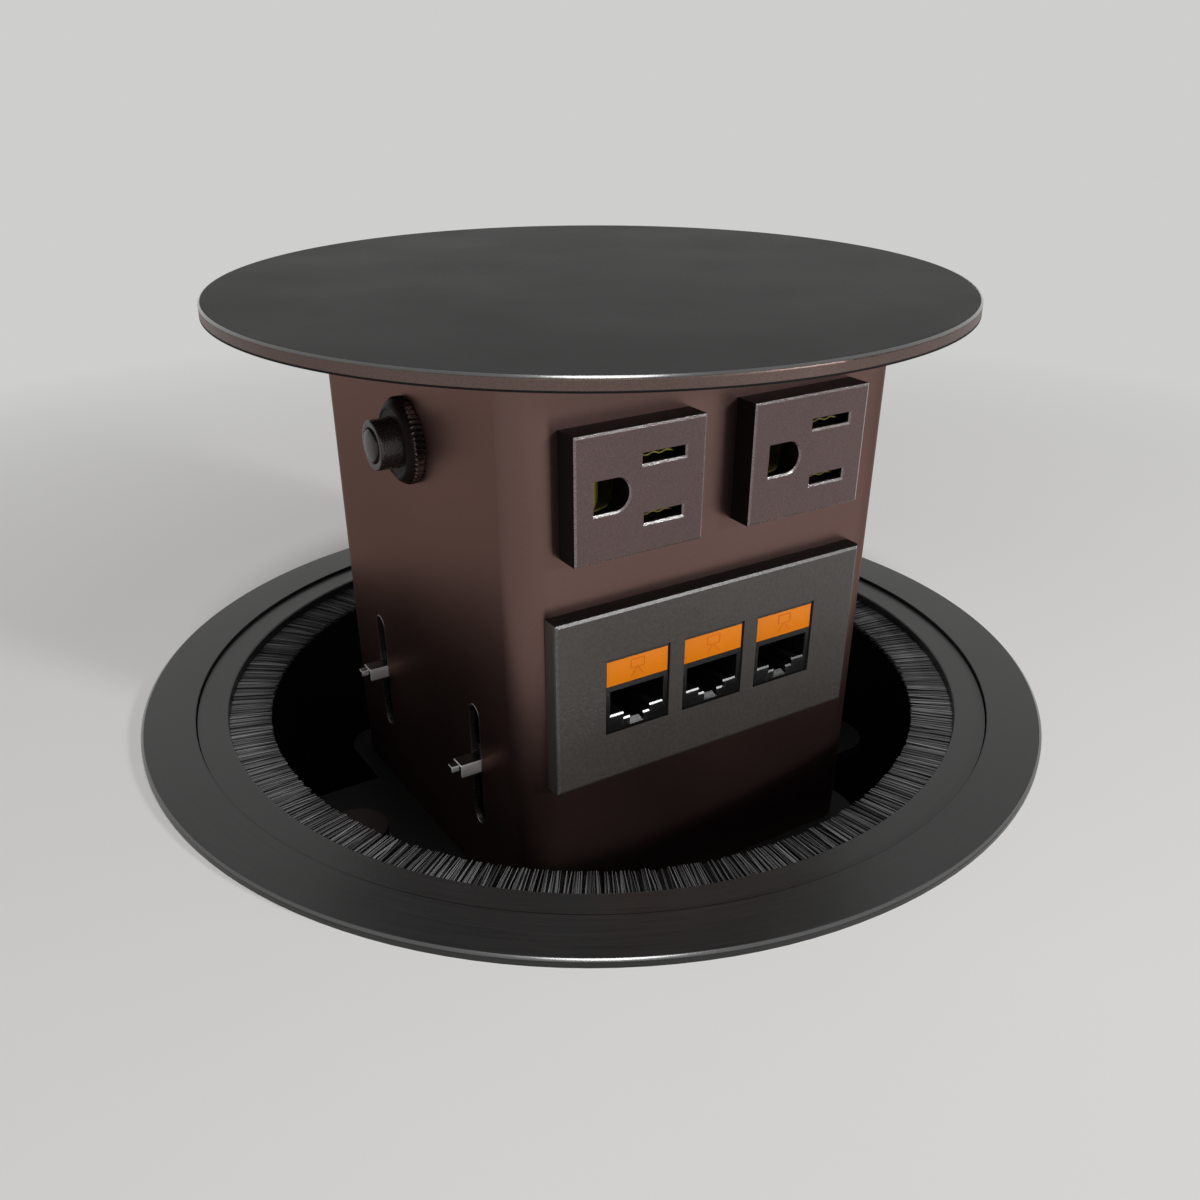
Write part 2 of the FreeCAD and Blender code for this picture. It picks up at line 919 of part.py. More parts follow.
def make_guides():
    rods = []
    collars = []
    collar_screws = []
    housings = []
    bushes = []
    set_screws = []
    for x, side in mirrored_pair(rod_spacing):
        outward = "x-" if side == "low" else "x+"
        inward_sign = 1 if side == "low" else -1
        shaft = rod("rod_" + side, d.rod_radius, (x, ZERO, well_floor), rod_top - well_floor)
        thread = rod(
            "rod_thread_" + side,
            d.screw_radius + d.fit_clear,
            (x, ZERO, well_floor),
            d.rod_screw_depth,
        )
        rods.append(cut("rod_drilled_" + side, shaft, thread))
        collar = rod("collar_" + side, d.collar_radius, (x, ZERO, collar_bottom), d.collar_height)
        collar_bore = rod(
            "collar_bore_" + side,
            d.rod_radius + d.fit_clear,
            (x, ZERO, collar_bottom),
            d.collar_height,
        )
        collar_mid = collar_bottom + d.collar_height / 2
        inner_edge = x + inward_sign * (d.rod_radius + d.fit_clear)
        collar_thread = rod(
            "collar_thread_" + side,
            d.set_screw_radius + d.fit_clear,
            (x, ZERO, collar_mid),
            d.collar_radius,
            "x+" if side == "low" else "x-",
        )
        collars.append(cut("collar_cut_" + side, collar, collar_bore, collar_thread))
        collar_screws.append(
            rod(
                "collar_screw_" + side,
                d.set_screw_radius,
                (inner_edge, ZERO, collar_mid),
                d.collar_radius - d.rod_radius - d.fit_clear * 2,
                "x+" if side == "low" else "x-",
            )
        )
        sleeve = rod("bush_" + side, bush_radius, (x, ZERO, housing_bottom), bush_top - housing_bottom)
        rim = rod(
            "bush_rim_" + side, bush_radius + d.bush_rim, (x, ZERO, tower_bottom), d.bush_rim_thick
        )
        bush_bore = rod(
            "bush_bore_" + side,
            d.rod_radius + d.fit_clear,
            (x, ZERO, housing_bottom),
            bush_top - housing_bottom,
        )
        bushes.append(cut("bush_cut_" + side, fuse("bush_solid_" + side, sleeve, rim), bush_bore))
        housing = rod(
            "housing_" + side, housing_radius, (x, ZERO, housing_bottom), d.housing_height
        )
        housing_bore = rod(
            "housing_bore_" + side,
            bush_radius + d.fit_clear,
            (x, ZERO, housing_bottom),
            d.housing_height,
        )
        housing_mid = housing_bottom + d.housing_height / 2
        set_thread = rod(
            "housing_thread_" + side,
            d.set_screw_radius + d.fit_clear,
            (x, ZERO, housing_mid),
            housing_radius,
            outward,
        )
        housings.append(cut("housing_cut_" + side, housing, housing_bore, set_thread))
        set_screws.append(
            rod(
                "friction_screw_" + side,
                d.set_screw_radius,
                (x - inward_sign * (bush_radius + d.fit_clear), ZERO, housing_mid),
                d.housing_wall - d.fit_clear,
                outward,
            )
        )
    group("guide_rods", rods)
    group("stop_collars", collars)
    group("collar_screws", collar_screws)
    group("bush_housings", housings)
    group("guide_bushes", bushes)
    group("friction_screws", set_screws)


def make_bumpers():
    bumpers = []
    for x, side in mirrored_pair(tower_width - d.bumper_inset_x * 2):
        for y, end in mirrored_pair(d.tower_length - d.bumper_inset_y * 2):
            name = "bumper_" + side + "_" + end
            place = (x, y, well_floor)
            bumpers.append(
                cone(name, d.bumper_radius, d.bumper_top_radius, place, d.bumper_height)
            )
    group("rest_bumpers", bumpers)


# Carrier plate under the tower


def carrier_screw_places():
    for x, side in mirrored_pair(tower_width - d.lip_screw_inset * 2):
        for y, end in mirrored_pair(d.tower_length - d.lip_screw_inset * 2):
            yield x, y, side + "_" + end


def make_carrier_plate():
    body = new_body("carrier_plate")
    edge_x = half_width + d.carrier_margin
    edge_y = half_length + d.carrier_margin
    ear_x = rod_spacing / 2 + d.ear_margin
    ear_y = d.ear_width / 2
    sketch = new_sketch(body, "carrier_outline", "XY_Plane", carrier_bottom)
    draw_outline(
        sketch,
        [
            (-edge_x, -edge_y),
            (edge_x, -edge_y),
            (edge_x, -ear_y),
            (ear_x, -ear_y),
            (ear_x, ear_y),
            (edge_x, ear_y),
            (edge_x, edge_y),
            (-edge_x, edge_y),
            (-edge_x, ear_y),
            (-ear_x, ear_y),
            (-ear_x, -ear_y),
            (-edge_x, -ear_y),
        ],
    )
    sheet_pad = pad(body, "carrier_sheet", sketch, d.carrier_thick)

    def is_outer_corner(edge):
        x, y = abs(edge.BoundBox.XMin), abs(edge.BoundBox.YMin)
        at_ear = abs(x - ear_x.value) < 1e-3
        at_corner = abs(x - edge_x.value) < 1e-3 and abs(y - edge_y.value) < 1e-3
        return is_upright(edge) and (at_ear or at_corner)

    corners = round_edges(body, "carrier_corners", sheet_pad, d.ear_round, is_outer_corner)
    body.Tip = corners
    window = new_sketch(body, "cable_window", "XY_Plane", tower_bottom)
    draw_rectangle(
        window,
        (-d.cable_window_x / 2, d.cable_window_x / 2),
        (-d.cable_window_y / 2, d.cable_window_y / 2),
    )
    pocket(body, "cable_window_cut", window, d.carrier_thick)
    for x, side in mirrored_pair(rod_spacing):
        bore(
            body,
            "bush_hole_" + side,
            bush_radius + d.fit_clear,
            (x, ZERO, carrier_bottom),
            d.carrier_thick,
        )
    for x, y, name in carrier_screw_places():
        bore(body, "carrier_hole_" + name, screw_hole, (x, y, carrier_bottom), d.carrier_thick)
        sink(
            body,
            "carrier_seat_" + name,
            d.screw_head_radius + d.hole_clear,
            screw_hole,
            (x, y, carrier_bottom),
            d.screw_head_thick,
        )


def make_carrier_screws():
    length = d.carrier_thick + d.tower_wall + d.nut_thick + d.screw_spare
    screws = []
    nuts = []
    for x, y, name in carrier_screw_places():
        screws.append(sunk_screw("carrier_screw_" + name, (x, y, carrier_bottom), length, "z+"))
        nuts.append(hex_nut("carrier_nut_" + name, (x, y, tower_bottom + d.tower_wall)))
    group("carrier_screws", screws)
    group("carrier_nuts", nuts)


# Tower shell: one folded sheet with its ceiling, an inward lip, and the windows in its walls


def socket_centres():
    for sign, side in ((-1, "left"), (1, "right")):
        yield socket_pitch * (sign / 2.0) - d.socket_shift, side


def jack_centres():
    middle = (JACK_COUNT - 1) / 2.0
    for index in range(JACK_COUNT):
        yield plate_x + (d.jack_width + d.jack_gap) * (index - middle), index


neck_half_width = d.socket_width / 2 - d.neck_inset
neck_half_height = d.socket_height / 2 - d.neck_inset
neck_back = front_face + d.neck_depth
jack_z = plate_z + d.jack_rise
jack_face = front_face - d.plate_proud + d.jack_set_back
jack_back = jack_face + d.jack_depth
jacks_reach = (d.jack_width + d.jack_gap) * ((JACK_COUNT - 1) / 2.0) + d.jack_width / 2
jacks_left = plate_x - jacks_reach
jacks_right = plate_x + jacks_reach
jacks_low = jack_z - d.jack_height / 2
jacks_high = jack_z + d.jack_height / 2
notch_bottom = jacks_low + d.notch_floor
step_bottom = notch_bottom + d.notch_height
port_bottom = step_bottom + d.step_height
port_top = port_bottom + d.port_height
tag_bottom = port_top + d.tag_over_port
tag_top = jacks_high - d.tag_under_top
tag_half_width = d.jack_width / 2 - d.tag_side


def upright_slot(body, name, y, role_offset, depth):
    """A round-ended slot in a side wall, cut from outside inwards."""
    reach = (d.side_slot_length - d.side_slot_width) / 2
    radius = d.side_slot_width / 2
    sketch = new_sketch(body, name + "_outline", "YZ_Plane", role_offset)
    draw_rectangle(
        sketch,
        (y - radius, y + radius),
        (slot_z - reach, slot_z + reach),
    )
    pocket(body, name + "_straight", sketch, depth)
    for end, centre in (("low", slot_z - reach), ("high", slot_z + reach)):
        bore(body, name + "_" + end, radius, (role_offset, y, centre), depth, "x-")


def make_tower_shell():
    body = new_body("tower_shell")
    outline = new_sketch(body, "shell_outline", "XY_Plane", tower_bottom)
    draw_rectangle(outline, (-half_width, half_width), (-half_length, half_length))
    pad(body, "shell_block", outline, lid_bottom - tower_bottom)
    hollow = new_sketch(body, "hollow_outline", "XY_Plane", tower_ceiling)
    hollow_x = half_width - d.tower_wall
    hollow_y = half_length - d.tower_wall
    draw_rectangle(hollow, (-hollow_x, hollow_x), (-hollow_y, hollow_y))
    folds = pocket(body, "hollow", hollow, tower_ceiling - (tower_bottom + d.tower_wall))
    # The inner side of each fold is rounded while the outer one is still sharp
    for name, reach, radius in (
        ("inner_folds", hollow_x, d.tower_round - d.tower_wall),
        ("outer_folds", half_width, d.tower_round),
    ):
        folds = round_edges(body, name, folds, radius, is_upright_at(reach))
        body.Tip = folds
    mouth = new_sketch(body, "mouth_outline", "XY_Plane", tower_bottom + d.tower_wall)
    draw_rectangle(
        mouth,
        (d.tower_lip - half_width, half_width - d.tower_lip),
        (d.tower_lip - half_length, half_length - d.tower_lip),
    )
    pocket(body, "mouth", mouth, d.tower_wall)
    # Windows in the front wall, cut from outside inwards
    for x, side in socket_centres():
        sketch = new_sketch(body, "socket_window_" + side, "XZ_Plane", half_length)
        draw_rectangle(
            sketch,
            (x - neck_half_width - d.hole_clear, x + neck_half_width + d.hole_clear),
            (
                socket_z - neck_half_height - d.hole_clear,
                socket_z + neck_half_height + d.hole_clear,
            ),
        )
        pocket(body, "socket_cut_" + side, sketch, d.tower_wall)
    sketch = new_sketch(body, "jack_window", "XZ_Plane", half_length)
    draw_rectangle(
        sketch,
        (jacks_left - d.hole_clear, jacks_right + d.hole_clear),
        (jacks_low - d.hole_clear, jacks_high + d.hole_clear),
    )
    pocket(body, "jack_cut", sketch, d.tower_wall)
    # Access window in the rear wall
    sketch = new_sketch(body, "rear_window", "XZ_Plane", -(half_length - d.tower_wall))
    draw_rectangle(sketch, (-rear_half_width, rear_half_width), (rear_low, rear_high))
    pocket(body, "rear_cut", sketch, d.tower_wall)
    for x, z, name in rear_screw_places():
        bore(body, "rear_hole_" + name, d.screw_radius, (x, half_length, z), d.tower_wall, "y-")
    # Side walls: breaker hole on the left, two slots in each
    bore(
        body,
        "breaker_hole",
        d.barrel_radius + d.hole_clear,
        (left_face, breaker_y, breaker_z),
        d.tower_wall,
        "x+",
    )
    for y, end in ((-slot_y, "front"), (slot_y, "rear")):
        upright_slot(body, "left_slot_" + end, y, left_inside, d.tower_wall)
        upright_slot(body, "right_slot_" + end, y, half_width, d.tower_wall)
    # Stud holes in the ceiling and screw holes in the lip
    for x, y, name in stud_places():
        bore(body, "stud_hole_" + name, screw_hole, (x, y, tower_ceiling), d.tower_wall)
    for x, y, name in carrier_screw_places():
        last = bore(body, "lip_hole_" + name, screw_hole, (x, y, tower_bottom), d.tower_wall)
    body.Tip = last


def stud_places():
    for x, side in mirrored_pair(tower_width - d.stud_inset_x * 2):
        for y, end in mirrored_pair(d.tower_length - d.stud_inset_y * 2):
            yield x, y, side + "_" + end


rear_half_width = half_width - d.rear_side_margin
rear_low = tower_bottom + d.rear_low_margin
rear_high = tower_ceiling - d.rear_high_margin


def rear_screw_places():
    for x, side in mirrored_pair((rear_half_width + d.rear_overlap / 2) * 2):
        for z, end in ((rear_low + d.rear_overlap, "bottom"), (rear_high - d.rear_overlap, "top")):
            yield x, z, side + "_" + end


def make_rear_cover():
    body = new_body("rear_cover")
    sketch = new_sketch(body, "rear_outline", "XZ_Plane", -half_length)
    reach = rear_half_width + d.rear_overlap
    draw_rectangle(
        sketch, (-reach, reach), (rear_low - d.rear_overlap, rear_high + d.rear_overlap)
    )
    panel = pad(body, "rear_panel", sketch, d.rear_cover_thick, reverse=True)
    body.Tip = panel
    outside = half_length + d.rear_cover_thick
    for x, z, name in rear_screw_places():
        hole = bore(body, "cover_hole_" + name, screw_hole, (x, half_length, z), d.rear_cover_thick, "y+")
    body.Tip = hole
    length = d.rear_cover_thick + d.tower_wall + d.screw_spare
    screws = []
    for x, z, name in rear_screw_places():
        shank = rod(
            "rear_shank_" + name, d.screw_radius - d.fit_clear, (x, outside, z), length, "y-"
        )
        head = rod(
            "rear_head_" + name, d.cover_head_radius, (x, outside, z), d.cover_head_thick, "y+"
        )
        screws.append(fuse("rear_screw_" + name, shank, head))
    group("rear_cover_screws", screws)


# Lid and its weld studs


def make_lid():
    body = new_body("lid_disc")
    turned = revolve(
        body,
        "lid_section",
        [
            (ZERO, lid_bottom),
            (lid_radius, lid_bottom),
            (lid_radius, lid_top),
            (ZERO, lid_top),
        ],
    )
    rim = round_edges(
        body, "lid_rim", turned, d.lid_edge_round, is_ring_at(lid_radius, lid_top)
    )
    body.Tip = rim
    studs = []
    nuts = []
    for x, y, name in stud_places():
        studs.append(rod("stud_" + name, d.screw_radius, (x, y, lid_bottom), d.stud_length, "z-"))
        nuts.append(hex_nut("lid_nut_" + name, (x, y, tower_ceiling), "z-"))
    group("lid_studs", studs)
    group("lid_nuts", nuts)


# Sockets: face and neck in one moulding, with contacts, back and clamping frame


def d_hole(name, x, z, start_y, depth, grow):
    """A ground hole: flat on its left, round on its right, running from start_y inwards."""
    radius = d.ground_tall / 2 + grow
    round_centre = x - d.ground_flat + d.ground_length - d.ground_tall / 2
    flat = x - d.ground_flat - grow
    straight = block(
        name + "_flat",
        (flat, round_centre),
        (start_y, start_y + depth),
        (z - radius, z + radius),
    )
    round_end = rod(name + "_round", radius, (round_centre, start_y, z), depth, "y+")
    return fuse(name, straight, round_end)


def slot_spans(x, which):
    if which == "upper":
        centre_x, length, rise = d.slot_upper_centre, d.slot_upper_length, d.slot_spacing / 2
    else:
        centre_x, length, rise = d.slot_lower_centre, d.slot_lower_length, -d.slot_spacing / 2
    middle_z = socket_z + d.slot_mid_rise + rise
    middle_x = x + centre_x
    return middle_x, middle_z, length


def make_socket(x, side):
    z = socket_z
    socket_front = front_face - d.socket_proud
    depth = d.socket_proud + d.neck_depth
    body = new_body("socket_" + side)
    face = new_sketch(body, "face_outline_" + side, "XZ_Plane", half_length)
    draw_rectangle(
        face,
        (x - d.socket_width / 2, x + d.socket_width / 2),
        (z - d.socket_height / 2, z + d.socket_height / 2),
    )
    front = pad(body, "face_block_" + side, face, d.socket_proud)

    def is_front_edge(edge):
        box = edge.BoundBox
        return box.YLength < 1e-4 and abs(box.YMin - socket_front.value) < 1e-3

    soft = round_edges(body, "face_edges_" + side, front, d.socket_edge_round, is_front_edge)
    body.Tip = soft
    neck = new_sketch(body, "neck_outline_" + side, "XZ_Plane", half_length)
    draw_rectangle(
        neck,
        (x - neck_half_width, x + neck_half_width),
        (z - neck_half_height, z + neck_half_height),
    )
    pad(body, "neck_" + side, neck, d.neck_depth, reverse=True)
    for which in ("upper", "lower"):
        middle_x, middle_z, length = slot_spans(x, which)
        mouth = new_sketch(
            body, which + "_slot_" + side, "XZ_Plane", half_length + d.socket_proud
        )
        draw_rectangle(
            mouth,
            (middle_x - length / 2, middle_x + length / 2),
            (middle_z - d.slot_tall / 2, middle_z + d.slot_tall / 2),
        )
        pocket(body, which + "_slot_cut_" + side, mouth, depth)
    middle = z + d.slot_mid_rise
    round_centre = x - d.ground_flat + d.ground_length - d.ground_tall / 2
    flat = new_sketch(body, "ground_flat_" + side, "XZ_Plane", half_length + d.socket_proud)
    draw_rectangle(
        flat,
        (x - d.ground_flat, round_centre),
        (middle - d.ground_tall / 2, middle + d.ground_tall / 2),
    )
    pocket(body, "ground_flat_cut_" + side, flat, depth)
    last = bore(
        body,
        "ground_round_" + side,
        d.ground_tall / 2,
        (round_centre, socket_front, middle),
        depth,
        "y+",
    )
    body.Tip = last
    return body


def blade_clip(name, x, which):
    """A folded strip whose two leaves grip a flat blade, seated in the back of its slot."""
    middle_x, middle_z, _ = slot_spans(x, which)
    start = front_face - d.socket_proud + d.contact_set_back
    stop = neck_back
    half = d.contact_width / 2
    tall = d.slot_tall / 2 - d.fit_clear
    span_x = (middle_x - half, middle_x + half)
    outside = block(name + "_strip", span_x, (start, stop), (middle_z - tall, middle_z + tall))
    gap = block(
        name + "_gap",
        span_x,
        (start, stop - d.contact_sheet),
        (middle_z - tall + d.contact_sheet, middle_z + tall - d.contact_sheet),
    )
    return cut(name, outside, gap)


def ground_clip(name, x):
    """A ring-shaped spring that follows the ground hole's wall."""
    z = socket_z + d.slot_mid_rise
    start = front_face - d.socket_proud + d.contact_set_back
    length = neck_back - start
    outside = d_hole(name + "_outside", x, z, start, length, -d.fit_clear)
    inside = d_hole(
        name + "_inside", x, z, start, length - d.contact_sheet, -d.fit_clear - d.contact_sheet
    )
    return cut(name, outside, inside)


def make_sockets():
    terminal_places = (
        (d.terminal_blade_offset, d.terminal_rise),
        (d.terminal_blade_offset, -d.terminal_rise),
        (-d.terminal_ground_offset, ZERO),
    )
    line = []
    neutral = []
    ground = []
    backs = []
    frames = []
    terminals = []
    for x, side in socket_centres():
        make_socket(x, side)
        neutral.append(blade_clip("neutral_" + side, x, "upper"))
        line.append(blade_clip("line_" + side, x, "lower"))
        ground.append(ground_clip("ground_" + side, x))
        z = socket_z
        span_x = (x - neck_half_width, x + neck_half_width)
        span_z = (z - neck_half_height, z + neck_half_height)
        backs.append(
            block("socket_back_" + side, span_x, (neck_back, neck_back + d.socket_back_thick), span_z)
        )
        frame_front = front_inside
        frame_back = frame_front + d.socket_frame_thick
        rim = d.socket_frame_rim
        outside = block(
            "socket_frame_outside_" + side,
            (span_x[0] - rim, span_x[1] + rim),
            (frame_front, frame_back),
            (span_z[0] - rim, span_z[1] + rim),
        )
        inside = block(
            "socket_frame_inside_" + side,
            (span_x[0] - d.fit_clear, span_x[1] + d.fit_clear),
            (frame_front, frame_back),
            (span_z[0] - d.fit_clear, span_z[1] + d.fit_clear),
        )
        frames.append(cut("socket_frame_" + side, outside, inside))
        terminal_y = neck_back + d.socket_back_thick
        for index, (along, up) in enumerate(terminal_places):
            terminals.append(
                rod(
                    "terminal_" + side + "_" + str(index),
                    d.terminal_radius,
                    (x + along, terminal_y, z + up),
                    d.terminal_thick,
                    "y+",
                )
            )
    group("line_contacts", line)
    group("neutral_contacts", neutral)
    group("ground_contacts", ground)
    group("socket_backs", backs)
    group("socket_frames", frames)
    group("terminal_screws", terminals)


# Data plate, jacks, their tags, pins and clamping frame


def make_data_plate():
    body = new_body("data_plate")
    sketch = new_sketch(body, "plate_outline", "XZ_Plane", half_length)
    reach = half_width - d.plate_side_margin
    draw_rectangle(
        sketch,
        (plate_x - reach, plate_x + reach),
        (plate_z - d.plate_height / 2, plate_z + d.plate_height / 2),
    )
    slab = pad(body, "plate_slab", sketch, d.plate_proud)
    plate_front = front_face - d.plate_proud

    def is_front_edge(edge):
        box = edge.BoundBox
        return box.YLength < 1e-4 and abs(box.YMin - plate_front.value) < 1e-3

    soft = round_edges(body, "plate_edges", slab, d.plate_round, is_front_edge)
    body.Tip = soft
    for x, index in jack_centres():
        window = new_sketch(
            body, "window_" + str(index), "XZ_Plane", half_length + d.plate_proud
        )
        half = d.jack_width / 2 + d.fit_clear
        tall = d.jack_height / 2 + d.fit_clear
        draw_rectangle(window, (x - half, x + half), (jack_z - tall, jack_z + tall))
        last = pocket(body, "window_cut_" + str(index), window, d.plate_proud)
    body.Tip = last


def make_jack(x, index):
    back = jack_face + d.port_depth
    name = ("jack_left", "jack_middle", "jack_right")[index]
    shell = block(
        name + "_block",
        (x - d.jack_width / 2, x + d.jack_width / 2),
        (jack_face, jack_back),
        (jacks_low, jacks_high),
    )
    openings = []
    for part, width, low in (
        ("port", d.jack_width - d.port_wall * 2, port_bottom),
        ("step", d.step_width, step_bottom),
        ("notch", d.notch_width, notch_bottom),
    ):
        openings.append(
            block(
                name + "_" + part,
                (x - width / 2, x + width / 2),
                (jack_face, back),
                (low, port_top),
            )
        )
    tag_seat = block(
        name + "_tag_seat",
        (x - tag_half_width - d.fit_clear, x + tag_half_width + d.fit_clear),
        (jack_face, jack_face + d.tag_thick),
        (tag_bottom - d.fit_clear, tag_top + d.fit_clear),
    )
    sub_part(name, cut(name + "_cut", shell, tag_seat, *openings))


def make_jacks():
    tags = []
    pins = []
    for x, index in jack_centres():
        make_jack(x, index)
        tags.append(
            block(
                "tag_" + str(index),
                (x - tag_half_width, x + tag_half_width),
                (jack_face, jack_face + d.tag_thick),
                (tag_bottom, tag_top),
            )
        )
        port_back = jack_face + d.port_depth
        pin_top = port_top - d.pin_drop
        for pin in range(JACK_PIN_COUNT):
            pin_x = x + d.pin_pitch * (pin - (JACK_PIN_COUNT - 1) / 2.0)
            pins.append(
                block(
                    "pin_" + str(index) + "_" + str(pin),
                    (pin_x - d.pin_thick / 2, pin_x + d.pin_thick / 2),
                    (port_back - d.pin_length, port_back),
                    (pin_top - d.pin_thick, pin_top),
                )
            )
    group("jack_tags", tags)
    group("jack_pins", pins)
    rim = d.jack_frame_rim
    span_y = (front_inside, front_inside + d.jack_frame_thick)
    outside = block(
        "jack_frame_outside",
        (jacks_left - rim, jacks_right + rim),
        span_y,
        (jacks_low - rim / 2, jacks_high + rim),
    )
    windows = []
    for x, index in jack_centres():
        half = d.jack_width / 2 + d.fit_clear
        windows.append(
            block(
                "jack_frame_window_" + str(index),
                (x - half, x + half),
                span_y,
                (jacks_low - d.fit_clear, jacks_high + d.fit_clear),
            )
        )
    sub_part("jack_frame", cut("jack_frame_cut", outside, *windows))


# Breaker: body with its barrel, knurled nut, washer, button and tabs


def make_breaker():
    y, z = breaker_y, breaker_z
    barrel_end = left_face - d.barrel_proud
    box_start = left_inside + d.washer_thick
    box_end = box_start + d.breaker_depth
    case = block(
        "breaker_case",
        (box_start, box_end),
        (y - d.breaker_width / 2, y + d.breaker_width / 2),
        (z - d.breaker_height / 2, z + d.breaker_height / 2),
    )
    barrel = rod("barrel", d.barrel_radius, (box_start, y, z), box_start - barrel_end, "x-")
    solid = fuse("breaker_solid", case, barrel)
    bore_end = barrel_end - d.button_proud + d.button_length + d.run_clear
    button_bore = rod(
        "button_bore",
        d.button_radius + d.fit_clear,
        (bore_end, y, z),
        bore_end - barrel_end,
        "x-",
    )
    sub_part("breaker_body", cut("breaker", solid, button_bore))
    washer = tube(
        "washer",
        d.washer_radius,
        d.barrel_radius + d.fit_clear,
        (left_inside, y, z),
        d.washer_thick,
        "x+",
    )
    sub_part("breaker_washer", washer)
    # The nut's rim is knurled by grooves along its width and bevelled towards the front
    bevel = d.nut_bevel
    nut_rim = rod("nut_rim", d.nut_radius, (left_face, y, z), d.nut_width - bevel, "x-")
    nut_nose = cone(
        "nut_nose",
        d.nut_radius,
        d.nut_front_radius,
        (left_face - d.nut_width + bevel, y, z),
        bevel,
        "x-",
    )
    nut_bore = rod("nut_bore", d.barrel_radius + d.fit_clear, (left_face, y, z), d.nut_width, "x-")
    grooves = []
    groove_circle = d.nut_radius + d.nut_groove_radius - d.nut_groove_depth
    for index, along, up in around(NUT_GROOVE_COUNT, groove_circle):
        grooves.append(
            rod(
                "nut_groove_" + str(index),
                d.nut_groove_radius,
                (left_face, y + along, z + up),
                d.nut_width,
                "x-",
            )
        )
    nut = cut("breaker_nut_cut", fuse("nut_solid", nut_rim, nut_nose), nut_bore, *grooves)
    sub_part("breaker_nut", nut)
    button_front = barrel_end - d.button_proud
    stem = rod(
        "button_stem",
        d.button_radius,
        (button_front + d.button_length, y, z),
        d.button_length - d.button_dome,
        "x-",
    )
    dome = cone(
        "button_dome",
        d.button_radius,
        d.button_radius - d.button_dome,
        (button_front + d.button_dome, y, z),
        d.button_dome,
        "x-",
    )
    sub_part("reset_button", fuse("button", stem, dome))
    tabs = [
        block(
            "breaker_tab_" + end,
            (box_end, box_end + d.tab_length),
            (y - d.tab_width / 2, y + d.tab_width / 2),
            (z + rise - d.tab_thick / 2, z + rise + d.tab_thick / 2),
        )
        for rise, end in mirrored_pair(d.tab_spacing)
    ]
    group("breaker_tabs", tabs)


# Cross bars that slide in the upright slots, with nylon blocks inside the walls


def make_cross_bars():
    z = slot_z + d.bar_rest_rise
    for y, end in ((-slot_y, "front"), (slot_y, "rear")):
        reach = half_width + d.bar_proud
        bar = block(
            "bar_" + end + "_body",
            (-reach, reach),
            (y - bar_width / 2, y + bar_width / 2),
            (z - d.bar_height / 2, z + d.bar_height / 2),
        )
        nib_z = z + d.nib_rise
        nib = block(
            "bar_" + end + "_nib",
            (-reach - d.nib_proud, reach + d.nib_proud),
            (y - d.nib_width / 2, y + d.nib_width / 2),
            (nib_z - d.nib_height / 2, nib_z + d.nib_height / 2),
        )
        sub_part("bar_" + end, fuse("bar_" + end + "_whole", bar, nib))
        inside = half_width - d.tower_wall - d.fit_clear
        blocks = []
        for sign, side in ((-1, "left"), (1, "right")):
            outer = sign * inside
            inner = sign * (inside - d.block_thick)
            span = (outer, inner) if sign < 0 else (inner, outer)
            solid = block(
                "bar_block_" + end + "_" + side,
                span,
                (y - d.block_width / 2, y + d.block_width / 2),
                (z - d.block_height / 2, z + d.block_height / 2),
            )
            passage = block(
                "bar_block_hole_" + end + "_" + side,
                span,
                (y - bar_width / 2 - d.fit_clear, y + bar_width / 2 + d.fit_clear),
                (z - d.bar_height / 2 - d.fit_clear, z + d.bar_height / 2 + d.fit_clear),
            )
            blocks.append(cut("bar_block_cut_" + end + "_" + side, solid, passage))
        group("bar_blocks_" + end, blocks)


# Build everything, check it, and write one file for each sub-part


def check_and_write():
    doc.recompute()
    for obj in doc.Objects:
        for state in obj.State:
            if state in ("Invalid", "Error"):
                raise RuntimeError(obj.Label + " is " + state)
    for obj in SUB_PARTS:
        if obj.Shape.isNull() or not obj.Shape.isValid():
            raise RuntimeError(obj.Label + " has no valid shape")
    os.makedirs("parts", exist_ok=True)
    for obj in SUB_PARTS:
        obj.Shape.exportStep("parts/" + obj.Label + ".step")
    print(len(SUB_PARTS), "sub-parts written")


make_trim_flange()
make_cover_ring()
make_brush()
make_flange_screws()
make_well()
make_entries()
make_base_plate()
make_base_hardware()
make_guides()
make_bumpers()
make_carrier_plate()
make_carrier_screws()
make_tower_shell()
make_rear_cover()
make_lid()
make_sockets()
make_data_plate()
make_jacks()
make_breaker()
make_cross_bars()
check_and_write()
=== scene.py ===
"""Looks for a round pull-up floor outlet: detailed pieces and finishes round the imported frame."""

import json
import math

import bmesh
import bpy
import numpy as np
from mathutils import Matrix, Vector
from mathutils.geometry import tessellate_polygon

